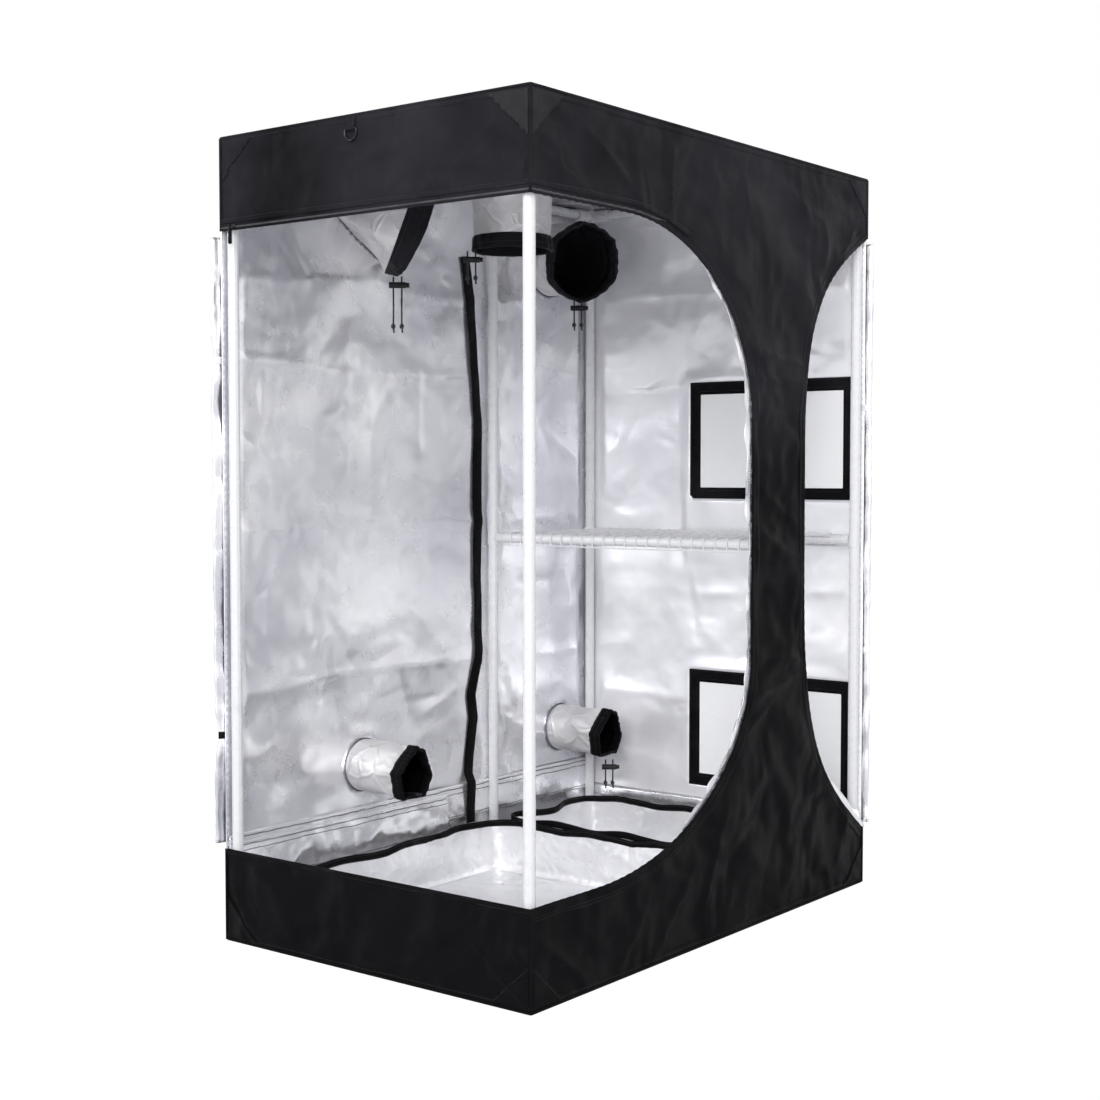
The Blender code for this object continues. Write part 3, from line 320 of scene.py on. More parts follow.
def lattice(i, j, seed):
    """A fixed number from 0 to 1 for each whole-number place."""
    n = (i * 374761393 + j * 668265263 + seed * 974634777) & 0xFFFFFFFF
    n = ((n ^ (n >> 13)) * 1274126177) & 0xFFFFFFFF
    return (n ^ (n >> 16)) / 0xFFFFFFFF


def soft(x, y, seed):
    """Smooth noise from -1 to 1."""
    i, j = np.floor(x).astype(np.int64), np.floor(y).astype(np.int64)
    fx, fy = x - i, y - j
    sx, sy = fx * fx * (3 - 2 * fx), fy * fy * (3 - 2 * fy)
    low = lattice(i, j, seed) * (1 - sx) + lattice(i + 1, j, seed) * sx
    high = lattice(i, j + 1, seed) * (1 - sx) + lattice(i + 1, j + 1, seed) * sx
    return 2 * (low * (1 - sy) + high * sy) - 1


def facets(x, y, seed):
    """Flat triangular facets with sharp creases between them, from -1 to 1."""
    x, y = x + 0.45 * soft(x * 0.8, y * 0.8, seed + 3), y + 0.45 * soft(x * 0.8 + 7, y * 0.8, seed + 5)
    skew = (x + y) * 0.3660254
    i, j = np.floor(x + skew).astype(np.int64), np.floor(y + skew).astype(np.int64)
    u, v = x + skew - i, y + skew - j
    side = np.where(u > v, lattice(i + 1, j, seed), lattice(i, j + 1, seed))
    first, last = 1 - np.maximum(u, v), np.minimum(u, v)
    return 2 * (first * lattice(i, j, seed) + np.abs(u - v) * side + last * lattice(i + 1, j + 1, seed)) - 1


def crumple(u, v, size, seed, octaves=3, keep=0.5):
    """Facets of several sizes, each half as large as the one before and shallower."""
    total = 0.0
    for k in range(octaves):
        tilt = 0.7 + 1.1 * k
        x, y = u * math.cos(tilt) - v * math.sin(tilt), u * math.sin(tilt) + v * math.cos(tilt)
        total = total + facets(x * 2**k / size, y * 2**k / size, seed + 31 * k) * keep**k
    return total


def creases(u, v, lines):
    """Straight sharp folds. Each line gives its two ends, its height and its half width."""
    total = np.zeros(np.shape(u))
    for (ax, ay), (bx, by), height, width in lines:
        dx, dy = bx - ax, by - ay
        t = np.clip(((u - ax) * dx + (v - ay) * dy) / (dx * dx + dy * dy), 0, 1)
        away = np.hypot(u - ax - t * dx, v - ay - t * dy)
        total += height * np.exp(-away / width) * np.sin(math.pi * np.clip(t, 0.02, 0.98)) ** 0.3
    return total


def fade(x, start, end):
    """Rises smoothly from 0 at start to 1 at end."""
    t = np.clip((x - start) / (end - start), 0, 1)
    return t * t * (3 - 2 * t)


# Flat outlines

def arc(centre, radii, start, stop, steps=36):
    """Points along part of an ellipse, from one angle to another in degrees."""
    angles = np.radians(np.linspace(start, stop, steps + 1))
    return [(centre[0] + radii[0] * math.cos(a), centre[1] + radii[1] * math.sin(a)) for a in angles]


def bezier(points):
    """Points along a cubic curve through its first and last point."""
    made = []
    for t in np.linspace(0, 1, 41):
        weights = ((1 - t) ** 3, 3 * t * (1 - t) ** 2, 3 * t * t * (1 - t), t**3)
        made.append(tuple(sum(w * p[k] for w, p in zip(weights, points)) for k in (0, 1)))
    return made


def turn(count):
    """Angles once round."""
    return np.linspace(0, math.tau, count, endpoint=False)


def closed(loop):
    return loop + loop[:1]


def rectangle(low, high):
    return [low, (high[0], low[1]), high, (low[0], high[1])]


def circle(centre, radius):
    return arc(centre, (radius, radius), 0, 360, 48)[:-1]


def rounded(low, high, radius, steps=6):
    loop = []
    x, y = (low[0] + radius, high[0] - radius), (low[1] + radius, high[1] - radius)
    for cx, cy, start in ((x[1], y[0], -90), (x[1], y[1], 0), (x[0], y[1], 90), (x[0], y[0], 180)):
        loop += arc((cx, cy), (radius, radius), start, start + 90, steps)
    return loop


def walk(loop, step):
    """The same loop with points at most a step apart."""
    made = []
    for a, b in zip(loop, loop[1:] + loop[:1]):
        count = max(1, math.ceil(math.dist(a, b) / step))
        made += [tuple(p + (q - p) * k / count for p, q in zip(a, b)) for k in range(count)]
    return made


def even(points, step):
    """Points spaced evenly along a line."""
    points = np.array(points, float)
    along = np.concatenate([[0], np.cumsum(np.linalg.norm(np.diff(points, axis=0), axis=1))])
    places = np.linspace(0, along[-1], max(2, round(along[-1] / step)))
    return np.stack([np.interp(places, along, points[:, k]) for k in range(points.shape[1])], axis=1)


def unit(rows):
    """The same directions, each of length 1."""
    return rows / np.linalg.norm(rows, axis=1, keepdims=True)


def inset(points, distance):
    """An open flat line moved sideways, to its left."""
    points = np.array(points, float)
    run = unit(np.gradient(points, axis=0))
    return points + distance * np.stack([-run[:, 1], run[:, 0]], axis=1)


def inside(places, loops):
    """Whether each flat place is in the loops, counting loops within loops as holes."""
    result = np.zeros(len(places), bool)
    x, y = places[:, 0], places[:, 1]
    for loop in loops:
        for (ax, ay), (bx, by) in zip(loop, loop[1:] + loop[:1]):
            if ay != by:
                crosses = (ay > y) != (by > y)
                result ^= crosses & (x < (bx - ax) * (y - ay) / (by - ay) + ax)
    return result


def edge_distance(u, v, loops):
    """How far each flat place is from the nearest edge."""
    nearest = np.full(np.shape(u), 1e9)
    for loop in loops:
        for (ax, ay), (bx, by) in zip(loop, loop[1:] + loop[:1]):
            dx, dy = bx - ax, by - ay
            t = np.clip(((u - ax) * dx + (v - ay) * dy) / (dx * dx + dy * dy + 1e-12), 0, 1)
            nearest = np.minimum(nearest, np.hypot(u - ax - t * dx, v - ay - t * dy))
    return nearest


def fill(loops, step):
    """Points and triangles that fill flat loops at about this step."""
    rims = [walk(loop, step) for loop in loops]
    edges, places = [], []
    for rim in rims:
        first, count = len(places), len(rim)
        places += rim
        edges += [(first + k, first + (k + 1) % count) for k in range(count)]
    corners = np.array(places)
    low, high = corners.min(axis=0), corners.max(axis=0)
    rows = np.arange(low[1] + step / 2, high[1], step * 0.866)
    columns = np.arange(low[0] - step / 2, high[0] + step, step)
    grid = np.array([(x + (k % 2) * step / 2, y) for k, y in enumerate(rows) for x in columns])
    keep = inside(grid, loops) & (edge_distance(grid[:, 0], grid[:, 1], loops) > 0.42 * step)
    places += [tuple(p) for p in grid[keep]]
    found = delaunay_2d_cdt([Vector(p) for p in places], edges, [], 0, 1e-7)
    flat, triangles = np.array([tuple(p) for p in found[0]]), np.array(found[2])
    return flat, triangles[inside(flat[triangles].mean(axis=1), loops)]


# Pieces

def piece(name, points, faces, mats, body="frame", crease=None):
    """A mesh object that rides on a body."""
    mesh = bpy.data.meshes.new(name)
    mesh.from_pydata([tuple(p) for p in points], [], [tuple(int(i) for i in f) for f in faces])
    mesh.validate()
    for mat in mats:
        mesh.materials.append(mat)
    mesh.shade_smooth()
    if crease:
        mesh.set_sharp_from_angle(angle=math.radians(crease))
    obj = bpy.data.objects.new(name, mesh)
    bpy.context.scene.collection.objects.link(obj)
    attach(obj, body)
    return obj


def thicken(obj, thickness, offset=0.0, other=0, even_offset=True):
    """Gives cloth its thickness. other is how many slots further on its second face's material is."""
    solid = obj.modifiers.new("cloth", "SOLIDIFY")
    solid.thickness = thickness
    solid.offset = offset
    solid.material_offset = other
    solid.use_even_offset = even_offset
    return obj


def grid_faces(rows, columns, cyclic):
    """Quads between rows of points. cyclic joins each row's last point to its first."""
    faces = []
    for k in range(rows - 1):
        for i in range(columns if cyclic else columns - 1):
            j = (i + 1) % columns
            faces.append((k * columns + i, k * columns + j, (k + 1) * columns + j, (k + 1) * columns + i))
    return faces


def loft(name, rings, mats, cyclic=True, body="frame", crease=None):
    """A piece through rows of as many points each. cyclic joins each row's last point to its first."""
    faces = grid_faces(len(rings), len(rings[0]), cyclic)
    return piece(name, np.concatenate(rings), faces, mats, body, crease)


def section_sweep(path, normals, section, cyclic=False):
    """Points and faces of a section, given across and along the normal, carried along a path."""
    path = np.array(path, float)
    normals = np.broadcast_to(np.array(normals, float), path.shape)
    if cyclic:
        run = np.roll(path, -1, axis=0) - np.roll(path, 1, axis=0)
    else:
        run = np.gradient(path, axis=0)
    across = np.cross(run, normals)
    across /= np.linalg.norm(across, axis=1, keepdims=True) + 1e-12
    section = np.array(section, float)
    rings = path[:, None] + across[:, None] * section[None, :, :1] + normals[:, None] * section[None, :, 1:]
    rows, columns = rings.shape[:2]
    faces = grid_faces(rows, columns, True)
    if cyclic:
        last = (rows - 1) * columns
        faces += [(last + i, last + (i + 1) % columns, (i + 1) % columns, i) for i in range(columns)]
    else:
        faces += [tuple(reversed(range(columns))), tuple(range((rows - 1) * columns, rows * columns))]
    return rings.reshape(-1, 3), faces


def ribbon(name, path, normals, width, thickness, mat, body="frame", cyclic=False):
    """A tape with rounded edges that lies along a path."""
    w, t = width / 2, thickness / 2
    half = ((-w, -t / 2), (-w + t, -t), (w - t, -t), (w, -t / 2))
    section = half + tuple((-x, -y) for x, y in half)
    points, faces = section_sweep(path, normals, section, cyclic)
    return piece(name, points, faces, [mat], body, crease=50)


def tube(name, path, normals, radius, mat, cyclic=False, sides=10):
    section = [(radius * math.cos(a), radius * math.sin(a)) for a in turn(sides)]
    points, faces = section_sweep(path, normals, section, cyclic)
    return piece(name, points, faces, [mat])


def zip_coil(name, path, normals, mat=PAINTED_GLINT_COIL):
    """A zip's coil: a ridge that swells once for each turn."""
    path = even(path, 0.0012)
    normals = np.broadcast_to(np.array(normals, float), path.shape)
    lift = 0.00035 * np.cos(np.arange(len(path)) * math.pi)
    section = [(0.0015 * math.cos(a), 0.0010 * math.sin(a)) for a in turn(8)]
    points, faces = section_sweep(path, normals, section)
    points = points.reshape(len(path), 8, 3)
    centre = points.mean(axis=1, keepdims=True)
    points = centre + (points - centre) * (1 + lift / 0.0010)[:, None, None]
    return piece(name, points.reshape(-1, 3), faces, [mat])


def stitches(name, paths, normal, mat, pitch=0.0042, body="frame"):
    """Rows of small stitches along several paths, in one piece."""
    points, faces = [], []
    normal = np.array(normal, float)
    for path in paths:
        marks = even(path, pitch)
        run = unit(np.gradient(marks, axis=0))
        across = np.cross(run, normal)
        for spot, along, side in zip(marks, run, across):
            first = len(points)
            half, wide, high = along * pitch * 0.36, side * 0.00035, normal * 0.0004
            points += [spot - half, spot + half, spot + wide, spot - wide, spot + high, spot - high]
            for a, b in ((2, 4), (4, 3), (3, 5), (5, 2)):
                faces += [(first + 1, first + a, first + b), (first, first + b, first + a)]
    return piece(name, points, faces, [mat], body)


# Each wall's directions: across, up and outward, and the place of its middle plane
FRONT = ((1, 0, 0), (0, 0, 1), (0, -1, 0), (0, -0.3294, 0))
BACK = ((1, 0, 0), (0, 0, 1), (0, 1, 0), (0, 0.3294, 0))
RIGHT = ((0, 1, 0), (0, 0, 1), (1, 0, 0), (0.5144, 0, 0))
LEFT = ((0, 1, 0), (0, 0, 1), (-1, 0, 0), (-0.5144, 0, 0))
ROOF = ((1, 0, 0), (0, 1, 0), (0, 0, 1), (0, 0, 1.3494))
GROUND = ((1, 0, 0), (0, 1, 0), (0, 0, -1), (0, 0, 0.0007))


class Wall:
    """A cloth panel whose surface other pieces can be laid on."""

    def __init__(self, plane, loops, push, step=0.008):
        self.across, self.up, self.out, self.place = (np.array(v, float) for v in plane)
        self.loops, self.push, self.step = loops, push, step

    def at(self, places, lift=0.0):
        """World points over flat places, lifted outward from the cloth's middle."""
        places = np.array(places, float)
        u, v = places[:, 0], places[:, 1]
        depth = self.push(u, v, edge_distance(u, v, self.loops)) + lift
        return self.place + u[:, None] * self.across + v[:, None] * self.up + depth[:, None] * self.out

    def row(self, start, end, lift):
        """A straight row over the cloth, close enough in its points to follow it."""
        return self.at(even([start, end], STITCH_STEP), lift)

    def fill(self, loops, step):
        """Flat places and the triangles between them, whose fronts face outward."""
        places, triangles = fill(loops, step)
        turned = np.dot(np.cross(self.across, self.up), self.out) < 0
        return places, triangles[:, ::-1] if turned else triangles

    def cloth(self, name, mats, flat, node=None, area=None, held="stretched", thickness=CLOTH, body="frame"):
        """The panel itself. Its first material faces outward and its second inward."""
        places, triangles = self.fill(self.loops, self.step)
        obj = piece(name, self.at(places), triangles, mats, body)
        thicken(obj, thickness, 0.0, len(mats) - 1)
        if node:
            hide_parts(node)
        return obj

    def tape(self, name, line, width, lift, mat=TAPE, thickness=0.0012, body="frame"):
        return ribbon(name, self.at(even(line, 0.009), lift), self.out, width, thickness, mat, body)


# Outlines of the front, from the left top corner round

TOP_FLARE = arc((COLUMN_LEFT - 0.377, BAND_LOW - 0.319), (0.377, 0.319), 90, 0)
BASE_FLARE = arc((COLUMN_LEFT - 0.450, BASE_TOP + 0.322), (0.450, 0.322), 0, -90)
SMALL_TOP = bezier(((HALF_W, 1.238), (0.365, 1.160), (COLUMN_RIGHT, 1.100), (COLUMN_RIGHT, 0.850)))
SMALL_BASE = bezier(((COLUMN_RIGHT, 0.600), (COLUMN_RIGHT, 0.300), (0.345, 0.225), (HALF_W, 0.108)))
MAIN_EDGE = [(-HALF_W, BAND_LOW)] + TOP_FLARE + BASE_FLARE + [(-HALF_W, BASE_TOP)]
SMALL_EDGE = SMALL_TOP + SMALL_BASE
# The edges' binding and zip tape, and how many steps of the main edge the zip's coil shows along
BINDING, BINDING_IN = 0.0085, 0.0165
ZIP_TAPE = (0.0118, 0.0022)
FRONT_ZIP = 62


def pole_gap(u, v, posts):
    """How far a flat place is from the nearest pole behind it."""
    near = np.minimum(np.abs(v - 0.014), np.abs(v - 1.336))
    for x in posts:
        near = np.minimum(near, np.abs(u - x))
    return near


def clear_of_poles(push, u, v, posts, reach):
    """Keeps cloth from pressing into the poles and their connectors."""
    return np.maximum(push, -reach * fade(pole_gap(u, v, posts), 0.016, 0.045))


def folds(table):
    """Straight folds from rows in millimetres: both ends, the height in tenths, and the half width."""
    return [((a / 1000, b / 1000), (c / 1000, d / 1000), h / 10000, w / 1000) for a, b, c, d, h, w in table]


FRONT_FOLDS = (
    (-439, 1338, -241, 1218, 42, 8), (-500, 1262, -360, 1205, 30, 7), (-151, 1330, -157, 1205, 30, 7),
    (72, 1325, 66, 1190, 30, 7), (40, 1235, 400, 1320, 26, 8), (300, 1340, 350, 1200, 24, 7),
    (120, 1000, 270, 990, 40, 7), (112, 952, 275, 958, 36, 6), (118, 895, 262, 905, 26, 6),
    (130, 760, 250, 700, 30, 8), (125, 690, 245, 640, 30, 7), (120, 470, 265, 455, 36, 7),
    (100, 400, 260, 430, 30, 7), (60, 330, 180, 400, 32, 8), (20, 240, -60, 60, 30, 8),
    (-80, 150, -180, 30, 30, 8), (-200, 130, -300, 20, 26, 8), (-500, 110, -400, 30, 32, 7),
    (470, 170, 400, 50, 30, 8), (500, 1300, 420, 1200, 32, 8),
)
LEFT_FOLDS = (
    (-268, 1305, -171, 1224, 42, 7), (-322, 1262, -262, 1300, 34, 7), (-320, 1222, -285, 1250, 38, 6),
    (90, 1300, -60, 1288, 22, 8), (30, 1270, -90, 1295, 20, 8), (300, 1270, 190, 1210, 30, 8),
    (322, 1330, 290, 1280, 28, 6), (-203, 114, -325, 14, 44, 6), (-230, 140, -203, 112, 32, 6),
    (316, 90, 260, 30, 42, 8), (280, 140, 200, 105, 22, 8), (-300, 100, -325, 70, 30, 6),
)


def corner_pleats(u, v, start):
    """Small upright gathers of the top bands, from start to the near corner."""
    return np.sin(u * 262) * fade(start - u, 0, 0.06) * fade(0.05 - np.abs(v - 1.215), 0, 0.04)


def front_push(u, v, edge):
    """Cloth pulled tight at its corners, with folds down the column."""
    away = fade(edge, 0.0, 0.025)
    waves = 0.0028 * np.sin((u * 0.6 + v) * 47 + 3 * soft(u * 5, v * 5, 8))
    waves = waves * (0.6 + 0.4 * soft(u * 4, v * 4, 9))
    push = 1.5 * creases(u, v, folds(FRONT_FOLDS)) + waves + 0.0034 * crumple(u, v, 0.10, 21, keep=0.42)
    bow = 0.0030 * fade(pole_gap(u, v, LONG_POSTS), 0.02, 0.11)
    push = (push + bow) * away + 0.0016 * corner_pleats(u, v, -0.44)
    return clear_of_poles(push, u, v, LONG_POSTS, 0.004)


def side_band_push(u, v, edge):
    """Cloth pulled tight at its corners, flat along the zip so that the slider passes."""
    push = 2.0 * creases(u, v, folds(LEFT_FOLDS)) + 0.0042 * crumple(u, v, 0.10, 5, keep=0.42)
    push = push + 0.0012 * np.sin((u * 1.4 + v) * 50 + 3 * soft(u * 6, v * 9, 13))
    push = (push + 0.0016) * fade(edge, 0, 0.02) + 0.0018 * corner_pleats(u, v, -0.24)
    zipped = np.where(v > 1, fade(v, 1.203, 1.220), 1.0)
    return clear_of_poles(push * zipped, u, v, SIDE_POSTS, 0.003)


def box_folds(seed, half):
    """Short straight creases, strewn by the fixed lattice numbers, mostly near level or upright."""
    lines = []
    for k in range(26):
        x, z, way, long, high = (float(lattice(k, j, seed)) for j in range(5))
        way = (0.25 * (way - 0.5) + (0 if k % 3 else math.pi / 2)) * math.pi if k % 4 else way * math.pi
        x, z, long = (2 * x - 1) * half, 0.12 + 1.12 * z, 0.04 + 0.13 * long
        step = (long * math.cos(way) / 2, long * math.sin(way) / 2)
        tall = (0.0016 + 0.0020 * high) * (1 if k % 2 else -1)
        lines.append(((x - step[0], z - step[1]), (x + step[0], z + step[1]), tall, 0.006 + 0.006 * high))
    return lines


def film_push(seed, posts, half, levels, stowed):
    """Loose film that bellies outward between the posts, with the folds of its box, and stays clear of them.

    It lies flat as far as stowed, where a rolled door is kept behind it.
    """
    lines = box_folds(seed, half)

    def push(u, v, edge):
        gap = pole_gap(u, v, posts)
        swells = 0.0040 * soft(u * 3.1 + 0.4 * v, v * 1.7, seed) + 0.0030 * soft(u * 6, v * 2.2, seed + 2)
        ridge = 0.0034 * np.abs(soft(u * 4 + v * 2.2, v * 2.4 - u * 2, seed + 4))
        made = swells - ridge + 0.0030 * crumple(u, v, 0.17, seed + 9, 4, 0.42) + creases(u, v, lines)
        for k, level in enumerate(levels):
            away = np.abs(v - level - 0.016 * soft(u * 5, k, seed + 11))
            made = made - 0.0052 * np.exp(-away / 0.016) * (0.6 + 0.4 * soft(u * 7, k, seed + 13))
        made = made + 0.005 * fade(gap, 0.01, 0.15)
        most = 0.0095 * fade(u, stowed, stowed + 0.08)
        return clear_of_poles(np.minimum(made, most), u, v, posts, 0.011) * fade(edge, 0.004, 0.035)
    return push


def scallop(line, along, side):
    """Small gathers that make a bound edge wave in its own plane."""
    gathers = 0.0009 * np.sin(along * math.tau / 0.019) * (0.6 + 0.4 * np.sin(along * 9.0))
    return (inset(line, 1.0) - line) * gathers[:, None] * side


def column_hem(wall):
    """The film lining's crumpled edge, which shows along the column's left side."""
    line = even(TOP_FLARE[13:] + BASE_FLARE[:25], 0.006)
    along = np.arange(len(line)) * 0.006
    grown = 0.12 + 0.88 * np.minimum(fade(along, 0.0, 0.12), fade(along[-1] - along, 0.0, 0.06))
    rows = []
    for share, lift in ((0.0, -0.0014), (0.3, -0.0026), (0.55, -0.0004), (0.8, -0.0030), (1.0, -0.0010)):
        wave = 0.0034 * soft(along * 34, share * 2, 4) + 0.0022 * np.sin(along * 90 + share * 4)
        out = 0.0020 - (0.0185 + 0.0060 * soft(along * 9, 0.0, 9)) * share * grown + wave * share * grown
        rows.append(wall.at(line + (inset(line, 1.0) - line) * out[:, None], lift))
    rows = np.array(rows)
    rows[:, :, 1] += 0.0030 * np.array([soft(along * 45, 1.7 * k, 6) * k / 4 for k in range(5)])
    thicken(loft("column_film_hem", rows, [SILVER], False), 0.0006, even_offset=False)
    stitches("column_hem_stitching", [rows[2] - (0, 0.0006, 0)], (0, -1, 0), GREY_THREAD, 0.0045)


def front():
    """Top band, column and base band of black cloth, with their bound edges, zips and patches."""
    loop = [(-HALF_W, CLOTH_TOP)] + MAIN_EDGE + [(-HALF_W, CLOTH_FOOT), (HALF_W, CLOTH_FOOT)]
    loop += SMALL_EDGE[::-1] + [(HALF_W, CLOTH_TOP)]
    wall = Wall(FRONT, [loop], front_push)
    wall.cloth("front_cloth", [BLACK, SILVER], (1.03, 1.35), "front_panel", 0.62)
    paths = []
    for name, line, side, end in (("main", MAIN_EDGE, 1, FRONT_ZIP), ("small", SMALL_EDGE, -1, None)):
        smooth = even(line, 0.006)
        along = np.arange(len(smooth)) * 0.006
        wave = scallop(smooth, along, side)
        bound = inset(smooth, side * BINDING_IN)[: end + 6 if end else None]
        wall.tape(f"{name}_front_binding", bound, BINDING, 0.0007, thickness=ZIP_TAPE[1])
        edge = inset(smooth, side * 0.0052) + wave
        ribbon(f"{name}_zip_tape", wall.at(edge, 0.0006), wall.out, *ZIP_TAPE, BLACK)
        if end:
            tucked = 0.0050 + 0.0100 * fade(np.arange(end, dtype=float), end - 12, end)
            shift = inset(smooth, side) - smooth
            teeth = (smooth + wave * 0.5)[: end] + shift[: end] * tucked[:, None]
            sunk = 0.0019 - 0.4 * (tucked - 0.0050)
            zip_coil("front_zip", wall.at(teeth, sunk), wall.out)
        for distance in (0.0145, 0.0190):
            paths.append(wall.at(inset(smooth, side * distance), 0.0014))
    column_hem(wall)
    for z in (1.3425, 0.0095):
        line = [(-0.513, z), (0.513, z)]
        wall.tape(f"front_edge_{'top' if z > 1 else 'base'}", line, 0.010, 0.0007)
        paths.append(wall.row((-0.512, z), (0.512, z), 0.0016))
    paths += [wall.row((x, 0.40), (x, 1.02), 0.0008) for x in (0.118, 0.268)]
    patches(wall, "front", ((-1, 1), (1, 1), (-1, -1), (1, -1)), HALF_W, paths)
    stitches("front_stitching", paths, wall.out, BLACK_THREAD)


# How wide and tall the corner patches are
PATCH = (0.078, 0.070)


def patches(wall, name, corners, half, paths):
    """Triangles of doubled cloth that spread the pull at each corner."""
    for k, (sx, sz) in enumerate(corners):
        z = 1.3455 if sz > 0 else 0.0045
        x = sx * (half - 0.003)
        long_side = [(x - sx * PATCH[0], z), (x, z - sz * PATCH[1])]
        loop = [(x, z)] + long_side
        places, triangles = wall.fill([loop], 0.006)
        edge = edge_distance(places[:, 0], places[:, 1], [loop])
        lift = 0.0010 + 0.0006 * fade(edge, 0.0, 0.003)
        base = wall.at(places) + lift[:, None] * wall.out
        # the near top corner's patches take the lighter cloth, a painted highlight
        mat = PAINTED_HIGHLIGHT_CLOTH if name != "left_base" and k == 0 else TAPE
        thicken(piece(f"{name}_patch_{k}", base, triangles, [mat]), 0.0008, even_offset=False)
        shift = np.array((sx * 0.0035, sz * 0.0035))
        paths.append(wall.at(even(long_side, 0.006)[1:-1] + shift, 0.0022))


def left_bands():
    """The bands over and under the open side, with binding along each free edge and the zip along the top
    band's.
    """
    paths = []
    for name, low, high in (("top", BAND_LOW, CLOTH_TOP), ("base", CLOTH_FOOT, BASE_TOP)):
        free = low if name == "top" else high
        wall = Wall(LEFT, [rectangle((-SIDE_HALF, low), (SIDE_HALF, high))], side_band_push)
        wall.cloth(f"left_{name}_cloth", [BLACK, SILVER], (0.66, high - low), f"left_{name}_band")
        sign = 1 if name == "top" else -1
        bound = BINDING_IN if name == "top" else 0.0045
        line = [(-SIDE_HALF, free + sign * bound), (SIDE_HALF, free + sign * bound)]
        wall.tape(f"left_{name}_binding", line, BINDING, 0.0007, thickness=ZIP_TAPE[1])
        if name == "top":
            run = np.array([(-0.3275, free + 0.0055), (0.3275, free + 0.0055)])
            wall.tape("left_zip_tape", run, ZIP_TAPE[0], 0.0006, BLACK, ZIP_TAPE[1])
            teeth = wall.row(*(run - (0, 0.0005)), 0.0019)
            zip_coil("left_zip", teeth, wall.out)
        outer = high - 0.006 if name == "top" else low + 0.008
        line = [(-0.3275, outer), (0.3275, outer)]
        wall.tape(f"left_{name}_edge", line, 0.010, 0.0007)
        for z in (free + sign * (bound - 0.0025), free + sign * (bound + 0.0025), outer):
            paths.append(wall.row((-0.327, z), (0.327, z), 0.0016))
        patches(wall, f"left_{name}", ((-1, sign), (1, sign)), SIDE_HALF, paths)
    stitches("left_stitching", paths, wall.out, BLACK_THREAD)


def corner_piping():
    """Round piping where two walls of cloth meet, up each corner and round the roof and floor."""
    corners = {
        "front_left_top": ((-HALF_W, -HALF_D), (BAND_LOW, 1.348)),
        "front_left_base": ((-HALF_W, -HALF_D), (0.002, BASE_TOP)),
        "front_right_top": ((HALF_W, -HALF_D), (1.238, 1.348)),
        "front_right_base": ((HALF_W, -HALF_D), (0.002, 0.108)),
        "back_right": ((HALF_W, HALF_D), (0.002, 1.348)),
        "back_left_top": ((-HALF_W, HALF_D), (BAND_LOW, 1.348)),
        "back_left_base": ((-HALF_W, HALF_D), (0.002, BASE_TOP)),
    }
    for name, ((x, y), (low, high)) in corners.items():
        path = [(x, y, z) for z in np.linspace(low, high, max(3, int((high - low) / 0.02)))]
        normal = Vector((x / abs(x), y / abs(y), 0)).normalized()
        tube(f"piping_{name}", path, normal, 0.0022, TAPE)
    for name, z in (("roof", 1.3488), ("floor", 0.0024)):
        loop = rounded((-HALF_W, -HALF_D), (HALF_W, HALF_D), 0.003, 3)
        path = [(x, y, z) for x, y in walk(loop, 0.02)]
        tube(f"piping_{name}", path, (0, 0, 1), 0.0022, TAPE, cyclic=True)


def back():
    """The film wall with its duct holes, the strip for a divider and the pocket along its foot."""
    loops = [rectangle((-HALF_W, CLOTH_FOOT), (HALF_W, CLOTH_TOP))]
    for name, (x, z), bore, *_ in DUCTS:
        hole = np.full(48, bore / 2 + 0.0022)
        angles = turn(48)
        if name == "upper_left":
            hole = np.minimum(hole, under_chord(angles, 0) + 0.0022)
        loops.append([(x + r * math.cos(a), z + r * math.sin(a)) for r, a in zip(hole, angles)])
    loose = film_push(40, LONG_POSTS, 0.49, (1.140, 0.985, 0.700, 0.420), -0.425)
    x, z = DUCTS[2][1]

    def push(u, v, edge):
        return loose(u, v, np.minimum(edge, np.maximum(np.hypot(u - x, v - z) - LARGE_BORE / 2 - 0.004, 0)))

    wall = Wall(BACK, loops, push)
    cloth = wall.cloth("back_cloth", [BLACK, SILVER], (1.03, 1.35), "back_wall", 1.33)
    edge = [(-0.5146, 0.3296, z) for z in np.linspace(BASE_TOP, BAND_LOW, 60)]
    ribbon("back_left_binding", edge, (-0.7071, 0.7071, 0), 0.005, 0.0024, SILVER)
    divider_strip(wall)
    pocket()
    paths = [wall.row((x, 0.19), (x, 1.33), -0.0007) for x in (-0.470, 0.470)]
    stitches("back_stitching", paths, (0, -1, 0), GREY_THREAD)


# The divider strip's places down the back wall in millimetres: height, then place across
STRIP = (
    (1216, 110), (1169, 116), (1111, 121), (1053, 126), (985, 131), (936, 136), (897, 139), (798, 137),
    (720, 135), (644, 136), (543, 140), (442, 139), (395, 128), (355, 118), (308, 123), (250, 118),
    (186, 112), (141, 112), (100, 112),
)


